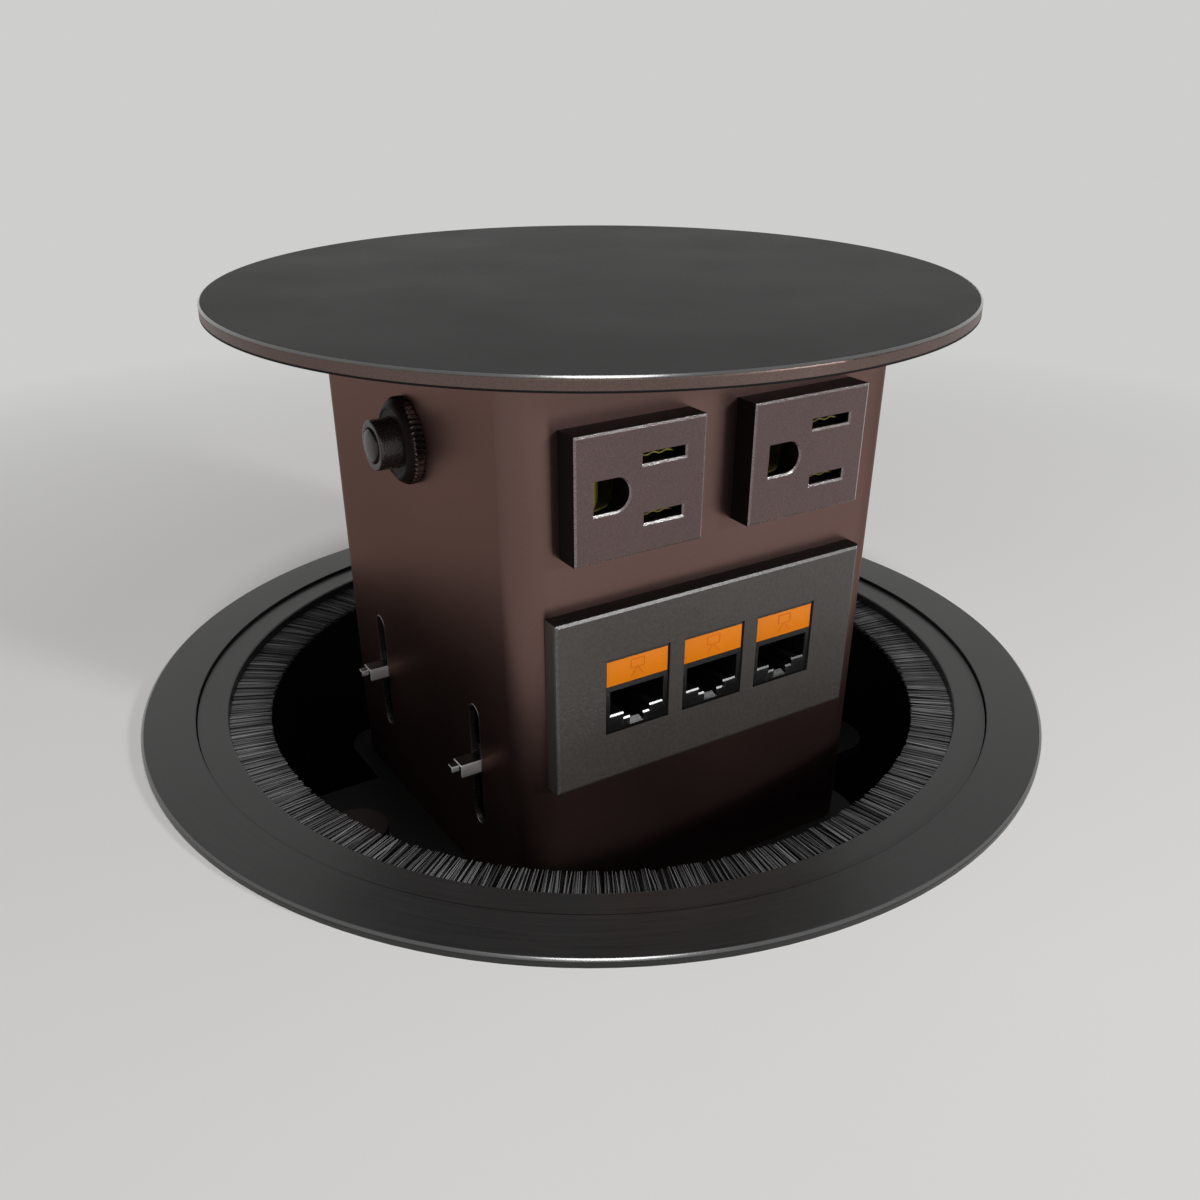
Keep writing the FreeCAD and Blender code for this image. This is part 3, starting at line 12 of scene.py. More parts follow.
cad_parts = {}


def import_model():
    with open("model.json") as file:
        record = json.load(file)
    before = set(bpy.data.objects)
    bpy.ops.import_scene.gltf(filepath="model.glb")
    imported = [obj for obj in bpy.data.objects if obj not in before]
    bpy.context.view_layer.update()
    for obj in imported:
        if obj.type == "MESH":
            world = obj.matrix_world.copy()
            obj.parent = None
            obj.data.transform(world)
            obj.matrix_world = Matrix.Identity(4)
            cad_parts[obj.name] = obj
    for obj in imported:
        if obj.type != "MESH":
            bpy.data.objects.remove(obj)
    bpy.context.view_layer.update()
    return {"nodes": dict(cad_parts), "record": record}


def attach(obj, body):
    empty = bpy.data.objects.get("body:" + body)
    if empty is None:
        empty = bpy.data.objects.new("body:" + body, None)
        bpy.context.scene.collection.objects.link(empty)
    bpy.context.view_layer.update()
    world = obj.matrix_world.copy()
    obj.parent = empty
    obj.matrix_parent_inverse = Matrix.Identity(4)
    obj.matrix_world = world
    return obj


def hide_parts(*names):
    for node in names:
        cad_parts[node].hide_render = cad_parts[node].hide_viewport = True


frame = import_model()
scene = bpy.context.scene
MM = 0.001


# Finishes

def link(tree, source, target):
    tree.links.new(source, target)


def maths(tree, operation, first, second=None):
    node = tree.nodes.new("ShaderNodeMath")
    node.operation = operation
    for socket, value in zip(node.inputs, (first, second)):
        if value is None:
            continue
        if isinstance(value, (int, float)):
            socket.default_value = value
        else:
            link(tree, value, socket)
    return node.outputs[0]


def spread(tree, source, low, high, start=0.3, stop=0.7):
    node = tree.nodes.new("ShaderNodeMapRange")
    node.inputs["From Min"].default_value = start
    node.inputs["From Max"].default_value = stop
    node.inputs["To Min"].default_value = low
    node.inputs["To Max"].default_value = high
    link(tree, source, node.inputs["Value"])
    return node.outputs["Result"]


def noise(tree, place, scale, detail=2.0, roughness=0.5):
    node = tree.nodes.new("ShaderNodeTexNoise")
    node.inputs["Scale"].default_value = scale
    node.inputs["Detail"].default_value = detail
    node.inputs["Roughness"].default_value = roughness
    link(tree, place, node.inputs["Vector"])
    return node.outputs["Fac"]


def blend(tree, factor, first, second, kind="MIX"):
    """Two colours mixed. Each input is a value or the output of another node."""
    node = tree.nodes.new("ShaderNodeMix")
    node.data_type = "RGBA"
    node.blend_type = kind
    for socket, value in (("Factor", factor), ("A", first), ("B", second)):
        if isinstance(value, (float, tuple)):
            node.inputs[socket].default_value = value
        else:
            link(tree, value, node.inputs[socket])
    return node.outputs["Result"]


def seen_rays(tree):
    """1 for camera, glossy and transmission rays, which see the plain backdrop."""
    rays = tree.nodes.new("ShaderNodeLightPath")
    seen = maths(tree, "MAXIMUM", rays.outputs["Is Camera Ray"], rays.outputs["Is Glossy Ray"])
    return maths(tree, "MAXIMUM", seen, rays.outputs["Is Transmission Ray"])


def plain_place(tree):
    return tree.nodes.new("ShaderNodeTexCoord").outputs["Object"]


def turned_place(tree, across=0.0016, along=1.0):
    """Coordinates along the radius and round the axis.

    A small across draws a noise out into turned lines, and a small along draws it out into spokes.
    """
    split = tree.nodes.new("ShaderNodeSeparateXYZ")
    link(tree, plain_place(tree), split.inputs[0])
    x, y = split.outputs[0], split.outputs[1]
    square = maths(tree, "ADD", maths(tree, "MULTIPLY", x, x), maths(tree, "MULTIPLY", y, y))
    radius = maths(tree, "SQRT", square)
    angle = maths(tree, "ARCTAN2", y, x)
    join = tree.nodes.new("ShaderNodeCombineXYZ")
    link(tree, maths(tree, "MULTIPLY", radius, along), join.inputs[0])
    link(tree, maths(tree, "MULTIPLY", angle, across), join.inputs[1])
    link(tree, maths(tree, "MULTIPLY", split.outputs[2], along), join.inputs[2])
    return join.outputs[0]


def stretched_place(tree, scale):
    node = tree.nodes.new("ShaderNodeMapping")
    node.inputs["Scale"].default_value = scale
    link(tree, plain_place(tree), node.inputs["Vector"])
    return node.outputs["Vector"]


# Ranges of a noise or a length over which an effect comes in, and what the colour is multiplied by
# The glint noise gives painted glints
GLINT_RANGE, GLINT_FINENESS = (0.62, 0.78), 1.7
TUFT_RANGE, TUFT_SHADES, TUFT_SCALE = (0.36, 0.66), (0.35, 1.5), 900.0
TUFT_ACROSS, TUFT_ALONG = 0.095, 0.03
# Painted shade: how the brush's colour darkens towards its underside
PAINTED_UNDERSIDE_SHADE_RANGE, PAINTED_UNDERSIDE_SHADE_LEVELS = (-0.0024, -0.0018), (0.05, 1.0)
SEAM_RANGE = (0.00012, 0.00028)
RIM_BLEND = 0.0001
ROUGH_SPREAD = 0.06


def finish(name, colour, rough, metal=0.0, specular=0.5, coat=0.0, coat_rough=0.2, cloud=0.12,
           cloud_scale=35.0, grain=0.12, grain_scale=2600.0, bump=0.15, depth=0.00004, turned=False,
           stretch=None, painted_glints=0.0, island=0.0, tufts_and_painted_shade=False, rim=None, seam=None, edge_tint=None):
    """A surface whose colour, roughness and relief vary with soft clouds and a fine grain.

    turned or stretch draws the grain out. painted_glints paints bright glint specks into the colour, island
    makes the loose parts of a mesh differ, and tufts_and_painted_shade shades it in tufts and paints shade
    towards the brush's underside. rim is a radius with the colour and the metallic share of the edge outside
    it, that colour a painted reflection. seam is the radius of a dark line. edge_tint colours what is
    mirrored at a grazing angle.
    """
    made = bpy.data.materials.new(name)
    made.use_nodes = True
    tree = made.node_tree
    shader = tree.nodes["Principled BSDF"]
    place = plain_place(tree)
    grain_place = turned_place(tree) if turned else place
    if stretch:
        grain_place = stretched_place(tree, stretch)
    clouds = noise(tree, place, cloud_scale, 3.0)
    grains = noise(tree, grain_place, grain_scale, 2.0, 0.6)
    amount = maths(
        tree, "MULTIPLY",
        spread(tree, clouds, 1.0 - cloud, 1.0 + cloud),
        spread(tree, grains, 1.0 - grain, 1.0 + grain),
    )
    # Painted glints: bright specks multiplied into the colour
    if painted_glints:
        glints = noise(tree, place, grain_scale * GLINT_FINENESS, 0.0)
        amount = maths(tree, "MULTIPLY", amount, spread(tree, glints, 1.0, 1.0 + painted_glints, *GLINT_RANGE))
    if island:
        single = tree.nodes.new("ShaderNodeNewGeometry").outputs["Random Per Island"]
        amount = maths(tree, "MULTIPLY", amount, spread(tree, single, 1.0 - island, 1.0 + island, 0.0, 1.0))
    if tufts_and_painted_shade:
        # Tufts differ round the ring, and shade is painted towards the brush's underside
        tufts = noise(tree, turned_place(tree, TUFT_ACROSS, TUFT_ALONG), TUFT_SCALE, 2.0)
        amount = maths(tree, "MULTIPLY", amount, spread(tree, tufts, *TUFT_SHADES, *TUFT_RANGE))
        height = tree.nodes.new("ShaderNodeSeparateXYZ")
        link(tree, place, height.inputs[0])
        under = spread(tree, height.outputs[2], *PAINTED_UNDERSIDE_SHADE_LEVELS, *PAINTED_UNDERSIDE_SHADE_RANGE)
        amount = maths(tree, "MULTIPLY", amount, under)
    if rim or seam:
        ring = tree.nodes.new("ShaderNodeSeparateXYZ")
        link(tree, turned_place(tree), ring.inputs[0])
        radius = ring.outputs[0]
    if seam:
        # Dark line in the joint between two turned rings
        off = maths(tree, "ABSOLUTE", maths(tree, "SUBTRACT", radius, seam))
        amount = maths(tree, "MULTIPLY", amount, spread(tree, off, 0.0, 1.0, *SEAM_RANGE))
    base = (*colour, 1.0)
    if rim:
        # The turned edge past the rim's radius is metal, and its brown colour is a painted reflection
        start, rim_reflection_colour, rim_metal = rim
        rim_reflection_share = spread(tree, radius, 0.0, 1.0, start - RIM_BLEND, start)
        base = blend(tree, rim_reflection_share, base, (*rim_reflection_colour, 1.0))
        link(tree, maths(tree, "MULTIPLY", rim_reflection_share, rim_metal), shader.inputs["Metallic"])
    grey = tree.nodes.new("ShaderNodeCombineColor")
    for socket in grey.inputs[:3]:
        link(tree, amount, socket)
    link(tree, blend(tree, 1.0, base, grey.outputs[0], "MULTIPLY"), shader.inputs["Base Color"])
    mixed = maths(tree, "MULTIPLY", maths(tree, "ADD", clouds, grains), 0.5)
    rough_map = spread(tree, mixed, rough - ROUGH_SPREAD, rough + ROUGH_SPREAD)
    link(tree, rough_map, shader.inputs["Roughness"])
    relief = tree.nodes.new("ShaderNodeBump")
    relief.inputs["Strength"].default_value = bump
    relief.inputs["Distance"].default_value = depth
    link(tree, grains, relief.inputs["Height"])
    link(tree, relief.outputs["Normal"], shader.inputs["Normal"])
    link(tree, relief.outputs["Normal"], shader.inputs["Coat Normal"])
    if not rim:
        shader.inputs["Metallic"].default_value = metal
    shader.inputs["Specular IOR Level"].default_value = specular
    if edge_tint:
        shader.inputs["Specular Tint"].default_value = (*edge_tint, 1.0)
    shader.inputs["Coat Weight"].default_value = coat
    shader.inputs["Coat Roughness"].default_value = coat_rough
    return made


MATERIALS = {
    "trim_metal": finish("trim_metal", (0.019, 0.019, 0.019), 0.36, specular=0.32, coat=0.2, turned=True,
                         grain=0.18, grain_scale=3200.0, bump=0.16, depth=0.00002, cloud=0.08, seam=0.1079),
    # Painted reflection: the lid's side edge is coloured brown metal
    "lid_metal": finish("lid_metal", (0.020, 0.020, 0.020), 0.40, specular=0.03, grain=0.14,
                        grain_scale=3400.0, bump=0.10, depth=0.00003, cloud=0.06,
                        rim=(0.0897, (0.150, 0.105, 0.095), 0.9)),
    "tower_metal": finish("tower_metal", (0.180, 0.108, 0.096), 0.34, metal=0.95,
                          edge_tint=(0.62, 0.52, 0.49), grain=0.05, grain_scale=3000.0, bump=0.05,
                          depth=0.00002, cloud=0.06, cloud_scale=18.0),
    "well_metal": finish("well_metal", (0.008, 0.008, 0.008), 0.62, specular=0.12, grain=0.15,
                         grain_scale=1400.0, cloud=0.2),
    # Painted shade darkens the lower layers of the brush
    "bristle": finish("bristle", (0.13, 0.13, 0.132), 0.45, specular=0.3, grain=0.05,
                      grain_scale=900.0, cloud=0.05, cloud_scale=60.0, island=0.5, tufts_and_painted_shade=True),
    # Painted glints in the socket plastic's colour
    "socket_plastic": finish("socket_plastic", (0.104, 0.066, 0.062), 0.40, specular=0.35, grain=0.16,
                             grain_scale=3000.0, bump=0.7, depth=0.00006, cloud=0.05, painted_glints=0.6),
    "plate_plastic": finish("plate_plastic", (0.060, 0.053, 0.048), 0.46, specular=0.4, coat=0.3,
                            grain=0.14, grain_scale=1200.0, bump=0.8, depth=0.00010, cloud=0.06),
    "jack_plastic": finish("jack_plastic", (0.009, 0.009, 0.009), 0.24, specular=0.6, grain=0.15,
                           grain_scale=1800.0, bump=0.08, depth=0.00003),
    "tag_plastic": finish("tag_plastic", (1.0, 0.27, 0.004), 0.42, specular=0.3, grain=0.03,
                          grain_scale=2000.0, bump=0.05, cloud=0.03),
    "button_plastic": finish("button_plastic", (0.034, 0.025, 0.023), 0.26, specular=0.45, grain=0.2,
                             grain_scale=2600.0, bump=0.6, depth=0.00007),
    "nut_metal": finish("nut_metal", (0.018, 0.011, 0.010), 0.36, specular=0.05, grain=0.2,
                        grain_scale=2200.0, bump=0.2, depth=0.00004),
    "steel": finish("steel", (0.55, 0.55, 0.55), 0.36, metal=1.0, grain=0.08, grain_scale=1500.0,
                    stretch=(0.15, 1.0, 1.0), bump=0.12, depth=0.00003),
    "brass": finish("brass", (0.26, 0.22, 0.06), 0.45, metal=1.0, grain=0.10, grain_scale=1200.0,
                    stretch=(1.0, 0.2, 1.0), cloud=0.2, cloud_scale=150.0),
    "nylon": finish("nylon", (0.022, 0.022, 0.023), 0.48, specular=0.4, grain=0.1, grain_scale=1700.0,
                    bump=0.2),
    "rubber": finish("rubber", (0.016, 0.016, 0.016), 0.75, specular=0.25, grain=0.15,
                     grain_scale=1100.0, bump=0.35, depth=0.00008),
}
# Finishes of single faces and small pieces, besides those of the record's slots
EDGE_METAL = finish("edge_metal", (0.05, 0.05, 0.05), 0.24, coat=1.0, coat_rough=0.12, turned=True,
                    grain=0.1, grain_scale=3200.0, bump=0.05, depth=0.00001)
# Painted shade: a darker copy of the socket and plate plastic for their sides, tops and hole walls
PAINTED_SHADE_SIDES = finish("painted_shade_sides", (0.012, 0.009, 0.008), 0.60, specular=0.06, grain=0.16, grain_scale=3000.0,
                   bump=0.4, depth=0.00005)
# Painted highlight: a lighter, glossier copy of the socket plastic with painted glints, for the front bevels
SOCKET_EDGE_HIGHLIGHT = finish("socket_edge_highlight", (0.150, 0.110, 0.105), 0.26, specular=0.8, coat=0.8, coat_rough=0.15,
                     grain=0.3, grain_scale=3600.0, bump=0.9, depth=0.00005, painted_glints=1.0)
# Painted light and shade: a bright copy of the bar steel for its sides, and a dark one for its top and ends
BAR_SIDES_PAINTED_LIGHT = finish("bar_sides_painted_light", (0.92, 0.92, 0.92), 0.50, metal=0.35, grain=0.08, grain_scale=1500.0,
                  stretch=(0.15, 1.0, 1.0), bump=0.12, depth=0.00003)
BAR_TOP_PAINTED_SHADE = finish("bar_top_painted_shade", (0.06, 0.06, 0.06), 0.30, metal=1.0, grain=0.08, grain_scale=1500.0,
                 stretch=(0.15, 1.0, 1.0), bump=0.12, depth=0.00003)
SLOT_EDGE = finish("slot_edge", (0.34, 0.31, 0.30), 0.30, metal=1.0, grain=0.08, grain_scale=1500.0,
                   bump=0.1, depth=0.00002)
# Painted highlight: a lighter, metallic copy of the nut's finish with painted glints, for its knurl teeth
NUT_TEETH_HIGHLIGHT = finish("nut_teeth_highlight", (0.105, 0.088, 0.082), 0.22, metal=0.9, grain=0.3, grain_scale=2200.0,
                   bump=0.4, depth=0.00004, painted_glints=1.0)
BARREL_SIDE = finish("barrel_side", (0.034, 0.025, 0.023), 0.26, specular=0.45, coat=0.7, coat_rough=0.12,
                     grain=0.3, grain_scale=2600.0, bump=1.0, depth=0.00010)
# Painted highlight: a lighter copy of the plate plastic with painted glints, for the upper edge facets
PLATE_EDGE_HIGHLIGHT = finish("plate_edge_highlight", (0.085, 0.078, 0.073), 0.40, specular=0.6, coat=0.35, coat_rough=0.3,
                    grain=0.3, grain_scale=1600.0, bump=1.0, depth=0.00010, painted_glints=0.4)
TAG_MARK = finish("tag_mark", (0.84, 0.20, 0.003), 0.42, specular=0.3, grain=0.03, grain_scale=2000.0,
                  bump=0.05)

node_slots = {s["node"]: s["material_slot"] for s in frame["record"]["subparts"]}
for name, obj in frame["nodes"].items():
    obj.data.materials.clear()
    obj.data.materials.append(MATERIALS[node_slots[name]])


# Mesh helpers, in millimetres

class Form:
    """Points and faces of one piece."""

    def __init__(self):
        self.points = []
        self.faces = []

    def band(self, rings):
        """Quads between closed rings that have the same number of points."""
        start = len(self.points)
        count = len(rings[0])
        for ring in rings:
            self.points.extend(ring)
        for row in range(len(rings) - 1):
            for i in range(count):
                j = (i + 1) % count
                low, high = start + row * count, start + (row + 1) * count
                self.faces.append((low + i, low + j, high + j, high + i))

    def sheet(self, flat_loops, place, depth):
        """A flat face with holes, at one depth."""
        start = len(self.points)
        for loop in flat_loops:
            self.points.extend(place(u, v, depth) for u, v in loop)
        for triangle in tessellate_polygon([[Vector((u, v, 0)) for u, v in loop] for loop in flat_loops]):
            self.faces.append(tuple(start + i for i in triangle))

    def slab(self, place, outer, holes=()):
        """A block between its front and back rings. A hole is its rings and whether it runs through."""
        self.band([[place(u, v, depth) for u, v in loop] for loop, depth in outer])
        for rings, _ in holes:
            self.band([[place(u, v, depth) for u, v in loop] for loop, depth in rings])
        self.sheet([outer[0][0]] + [rings[0][0] for rings, _ in holes], place, outer[0][1])
        ends = [rings[-1][0] for rings, through in holes if through]
        self.sheet([outer[-1][0]] + ends, place, outer[-1][1])
        for rings, through in holes:
            if not through:
                self.sheet([rings[-1][0]], place, rings[-1][1])

    def turned(self, place, profile, count=96, wave=None):
        """A ring swept round the axis. profile is (radius, along); wave moves a radius by angle."""
        rows = []
        for index, (radius, along) in enumerate(profile):
            row = []
            for i in range(count):
                angle = 2 * math.pi * i / count
                reach = wave(index, radius, angle) if wave else radius
                row.append(place(reach * math.cos(angle), reach * math.sin(angle), along))
            rows.append(row)
        self.band(rows)

    def box(self, low, high, bevel, steep=1.0):
        """A box with small flat bevels on every edge. At its top and foot a bevel is steep times as tall."""
        (x0, y0, z0), (x1, y1, z1) = low, high
        tall = bevel * steep
        big = rectangle(x0, x1, y0, y1, bevel, 1)
        small = inset(rectangle(x0, x1, y0, y1, bevel * 1.5, 1), bevel)
        self.slab(upright, [(small, z0), (big, z0 + tall), (big, z1 - tall), (small, z1)])


def upright(u, v, along):
    """Rings round the part's own upright axis."""
    return (u, v, along)


def rectangle(u0, u1, v0, v1, radius=0.0, steps=4):
    """Counter-clockwise corners, rounded where radius isn't zero."""
    if radius <= 0:
        return [(u0, v0), (u1, v0), (u1, v1), (u0, v1)]
    points = []
    for cu, cv, start in (
        (u1 - radius, v0 + radius, -90), (u1 - radius, v1 - radius, 0),
        (u0 + radius, v1 - radius, 90), (u0 + radius, v0 + radius, 180),
    ):
        for step in range(steps + 1):
            angle = math.radians(start + 90 * step / steps)
            points.append((cu + radius * math.cos(angle), cv + radius * math.sin(angle)))
    return points


def circle(cu, cv, radius, count=48):
    return [
        (cu + radius * math.cos(2 * math.pi * i / count), cv + radius * math.sin(2 * math.pi * i / count))
        for i in range(count)
    ]


def inset(loop, amount):
    """The loop moved inwards, with mitred corners. A negative amount grows it."""
    result = []
    count = len(loop)
    for i in range(count):
        before, here, after = Vector(loop[i - 1]), Vector(loop[i]), Vector(loop[(i + 1) % count])
        first, second = (here - before).normalized(), (after - here).normalized()
        one, two = Vector((-first.y, first.x)), Vector((-second.y, second.x))
        move = (one + two) / max(0.2, 1.0 + one.dot(two))
        result.append(tuple(here + move * amount))
    return result


# A bevel is half as deep as it is wide
BEVEL = 0.5


def bevel_edge(loop, width):
    """Rings of a flat bevel round a front edge."""
    return [(inset(loop, width), 0.0), (loop, width * BEVEL)]


def soft_edge(loop, radius, steps=3):
    """Rings of a rounded front edge: the loop drawn in at the front."""
    rings = []
    for step in range(steps + 1):
        angle = math.pi / 2 * step / steps
        rings.append((inset(loop, radius * (1 - math.sin(angle))), radius * (1 - math.cos(angle))))
    return rings


def front_wall(y_front):
    """u to the right, v up, depth into the tower's front."""
    return lambda u, v, depth: (u, y_front + depth, v)


def left_axis(x_start, y, z):
    """Rings round an axis that points out of the tower's left wall."""
    return lambda u, v, along: (x_start - along, y + u, z + v)


WELD = 2e-7


def piece(form, name, slot, body, replaces=(), angle=32.0, look=None, faces=()):
    """An object of the form. faces gives more finishes, each with a test on the face's direction."""
    mesh = bpy.data.meshes.new(name)
    mesh.from_pydata([Vector(p) * MM for p in form.points], [], form.faces)
    work = bmesh.new()
    work.from_mesh(mesh)
    bmesh.ops.remove_doubles(work, verts=work.verts, dist=WELD)
    bmesh.ops.recalc_face_normals(work, faces=work.faces)
    work.to_mesh(mesh)
    work.free()
    mesh.shade_smooth()
    mesh.set_sharp_from_angle(angle=math.radians(angle))
    mesh.materials.append(look or MATERIALS[slot])
    for index, (test, material) in enumerate(faces, 1):
        mesh.materials.append(material)
        for face in mesh.polygons:
            if test(face.normal):
                face.material_index = index
    obj = bpy.data.objects.new(name, mesh)
    scene.collection.objects.link(obj)
    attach(obj, body)
    if replaces:
        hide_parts(*replaces)


# Brush: clumps of fine radial filaments in layers, uneven at their tips

BRUSH_ROOT, BRUSH_MIDDLE, BRUSH_TIP = 102.4, 95.0, 88.8
BRUSH_LAYERS = (-1.74, -2.34, -2.94)
STRAND_PITCH, STRAND_SAG = 0.34, 0.18
# Where along a filament its rings lie, and how thick it is there
STRAND_RINGS = ((0.0, 1.0), (0.55, 1.0), (1.0, 0.6))


def brush():
    rng = np.random.default_rng(5)
    form = Form()
    circumference = 2 * math.pi * BRUSH_MIDDLE
    for layer, height in enumerate(BRUSH_LAYERS):
        widest_gap = 0.55 if layer == 0 else 0.4
        along = 0.0
        while along < circumference:
            width = rng.uniform(0.3, 1.4)
            lean = rng.normal(0.0, 0.3)
            short = abs(rng.normal(0.0, 0.25))
            lift = rng.uniform(-0.12, 0.12)
            strands = max(1, int(width / STRAND_PITCH))
            for strand in range(strands):
                angle = (along + strand * STRAND_PITCH) / BRUSH_MIDDLE
                half = rng.uniform(0.10, 0.165)
                drift = lean + rng.normal(0.0, 0.18)
                reach = BRUSH_TIP + short + abs(rng.normal(0.0, 0.12))
                level = height + lift + rng.uniform(-0.08, 0.08)
                rings = []
                for share, size in STRAND_RINGS:
                    radius = BRUSH_ROOT + (reach - BRUSH_ROOT) * share
                    turn = angle + drift * share * share / BRUSH_MIDDLE
                    ux, uy = math.cos(turn), math.sin(turn)
                    centre = (radius * ux, radius * uy, level - STRAND_SAG * share * share)
                    w = half * size
                    rings.append([
                        (centre[0] - uy * w, centre[1] + ux * w, centre[2]),
                        (centre[0], centre[1], centre[2] + w),
                        (centre[0] + uy * w, centre[1] - ux * w, centre[2]),
                        (centre[0], centre[1], centre[2] - w),
                    ])
                start = len(form.points)
                form.band(rings)
                form.faces.append((start, start + 1, start + 2, start + 3))
                form.faces.append((start + 8, start + 9, start + 10, start + 11))
            along += width + rng.uniform(0.12, widest_gap)
    piece(form, "brush_filaments", "bristle", "housing", ["brush_ring"], angle=60.0)


# Sockets with their slots, ground holes and sprung brass contacts

SOCKETS = ((-25.1, "left"), (19.3, "right"))
SOCKET_Z, SLOT_Z = 76.4, 76.6
SOCKET_FRONT = -60.55
# Half sizes of the face and of the body behind it, and their depths
FACE_HALF, NECK_HALF = (15.9, 13.55), (14.1, 11.75)
FACE_DEPTH, SOCKET_DEPTH = 6.3, 28.3
# Each blade slot's place from the socket's middle, its length and its contact
BLADES = ((5.7, 6.35, 11.2, "neutral"), (5.8, -6.35, 10.3, "line"))
SLOT_HALF = 1.45
HOLE_LIP, HOLE_WALL, HOLE_ROOM = 0.5, 1.2, 0.9
GROUND_FLAT, GROUND_CENTRE, GROUND_RADIUS = 11.5, 6.1, 3.8
HALF_TURN_STEPS = 24
CONTACT_BACK = -33.0


def around(u, v, half):
    """A rectangle by its middle and half sizes."""
    return rectangle(u - half[0], u + half[0], v - half[1], v + half[1])


def ground_loop(x):
    """The ground hole: flat at its left, round at its right."""
    flat, centre, radius = x - GROUND_FLAT, x - GROUND_CENTRE, GROUND_RADIUS
    loop = [(flat, SLOT_Z - radius)]
    for step in range(HALF_TURN_STEPS + 1):
        angle = math.radians(-90 + 180 * step / HALF_TURN_STEPS)
        loop.append((centre + radius * math.cos(angle), SLOT_Z + radius * math.sin(angle)))
    loop.append((flat, SLOT_Z + radius))
    return loop


def lipped(loop, amount):
    """The loop drawn in at its lower and right sides only."""
    grown = inset(loop, -1.0)
    return [
        (u - amount * max(0.0, gu - u), v + amount * max(0.0, v - gv))
        for (u, v), (gu, gv) in zip(loop, grown)
    ]


def hole_rings(loop):
    """A hole in a face: a bevelled lower and right lip, a short wall, and a wider room behind it."""
    inner = lipped(loop, HOLE_LIP)
    room = inset(inner, -HOLE_ROOM)
    return [(loop, 0.0), (inner, HOLE_LIP * BEVEL), (inner, HOLE_WALL), (room, HOLE_WALL + 0.02),
            (room, SOCKET_DEPTH)]


def socket(x, side):
    form = Form()
    face, neck = around(x, SOCKET_Z, FACE_HALF), around(x, SOCKET_Z, NECK_HALF)
    outer = bevel_edge(face, 0.5) + [(face, FACE_DEPTH), (neck, FACE_DEPTH), (neck, SOCKET_DEPTH)]
    holes = [(hole_rings(ground_loop(x)), True)]
    for du, dv, length, _ in BLADES:
        holes.append((hole_rings(around(x + du, SLOT_Z + dv, (length / 2, SLOT_HALF))), True))
    form.slab(front_wall(SOCKET_FRONT), outer, holes)
    # The sides, tops and hole walls carry painted shade, and the front bevels a painted highlight
    piece(form, "socket_face_" + side, "socket_plastic", "tower", ["socket_" + side], angle=18.0, faces=[
        (lambda normal: normal.y > -0.5, PAINTED_SHADE_SIDES), (lambda normal: -0.97 < normal.y <= -0.5, SOCKET_EDGE_HIGHLIGHT),
    ])


LEAF_HALF = 4.0


def leaf(form, x, z, side, phase):
    """One sprung leaf: wavy across, pinched in depth."""
    columns, rows, thick = 24, 14, 0.3
    near, length = 3.0, 24.7
    top, bottom = [], []
    for row in range(rows + 1):
        depth = near + length * (row / rows) ** 1.6
        gap = (0.9 if side > 0 else 0.1) + 0.6 * min(1.0, abs(depth - near - 0.6) / 9.0)
        for column in range(columns + 1):
            share = column / columns
            u = x - LEAF_HALF + 2 * LEAF_HALF * share
            wave = 0.2 * math.sin(2 * math.pi * share * 2.4 + phase) * max(0.0, 1 - (depth - near) / 5)
            v = z + side * gap + wave
            top.append((u, SOCKET_FRONT + depth, v + thick / 2))
            bottom.append((u, SOCKET_FRONT + depth, v - thick / 2))
    start = len(form.points)
    form.points.extend(top + bottom)
    width, size = columns + 1, len(top)
    for row in range(rows):
        for column in range(columns):
            a = start + row * width + column
            form.faces.append((a, a + 1, a + width + 1, a + width))
            b = a + size
            form.faces.append((b, b + width, b + width + 1, b + 1))
    # The rim of both skins, walked once round
    edge = list(range(columns + 1))
    edge += [row * width + columns for row in range(1, rows + 1)]
    edge += [rows * width + column for column in range(columns - 1, -1, -1)]
    edge += [row * width for row in range(rows - 1, 0, -1)]
    for i, a in enumerate(edge):
        b = edge[(i + 1) % len(edge)]
        form.faces.append((start + a, start + b, start + size + b, start + size + a))


def contacts():
    for du, dv, _, kind in BLADES:
        form = Form()
        for x, _ in SOCKETS:
            u, v = x + du, SLOT_Z + dv
            leaf(form, u, v, 1, 0.4)
            leaf(form, u, v, -1, 2.2)
            form.box((u - LEAF_HALF, -32.9, v - 1.3), (u + LEAF_HALF, -32.3, v + 1.3), 0.1)
        piece(form, kind + "_leaves", "brass", "tower", [kind + "_contacts"])
    form = Form()
    for x, _ in SOCKETS:
        outside, inside = inset(ground_loop(x), 0.25), inset(ground_loop(x), 0.7)
        rows = []
        for loop in (outside, inside):
            front = []
            for u, v in loop:
                share = (u - (x - GROUND_FLAT)) / 9.2
                front.append((u, SOCKET_FRONT + 2.1 + 5.0 * share * share, v))
            rows.append(front)
        back_in = [(u, CONTACT_BACK, v) for u, v in inside]
        back_out = [(u, CONTACT_BACK, v) for u, v in outside]
        form.band([back_out, rows[0], rows[1], back_in, back_out])
        # A curved tongue runs back from the flat side of the hole
        rings, steps = [], 10
        for step in range(steps + 1):
            share = step / steps
            u, y = x - 11.0 + 4.6 * share, SOCKET_FRONT + 1.7 + 5.5 * share * share
            low, high = SLOT_Z - 3.1 + 3.9 * share, SLOT_Z + 3.1
            rings.append([(u, y, high), (u, y, low), (u + 0.1, y + 0.35, low), (u + 0.1, y + 0.35, high)])
        start = len(form.points)
        form.band(rings)
        for end in (start, start + 4 * steps):
            form.faces.append((end, end + 1, end + 2, end + 3))
    piece(form, "ground_springs", "brass", "tower", ["ground_contacts"])


# Data plate, jacks, latch ramps and tags

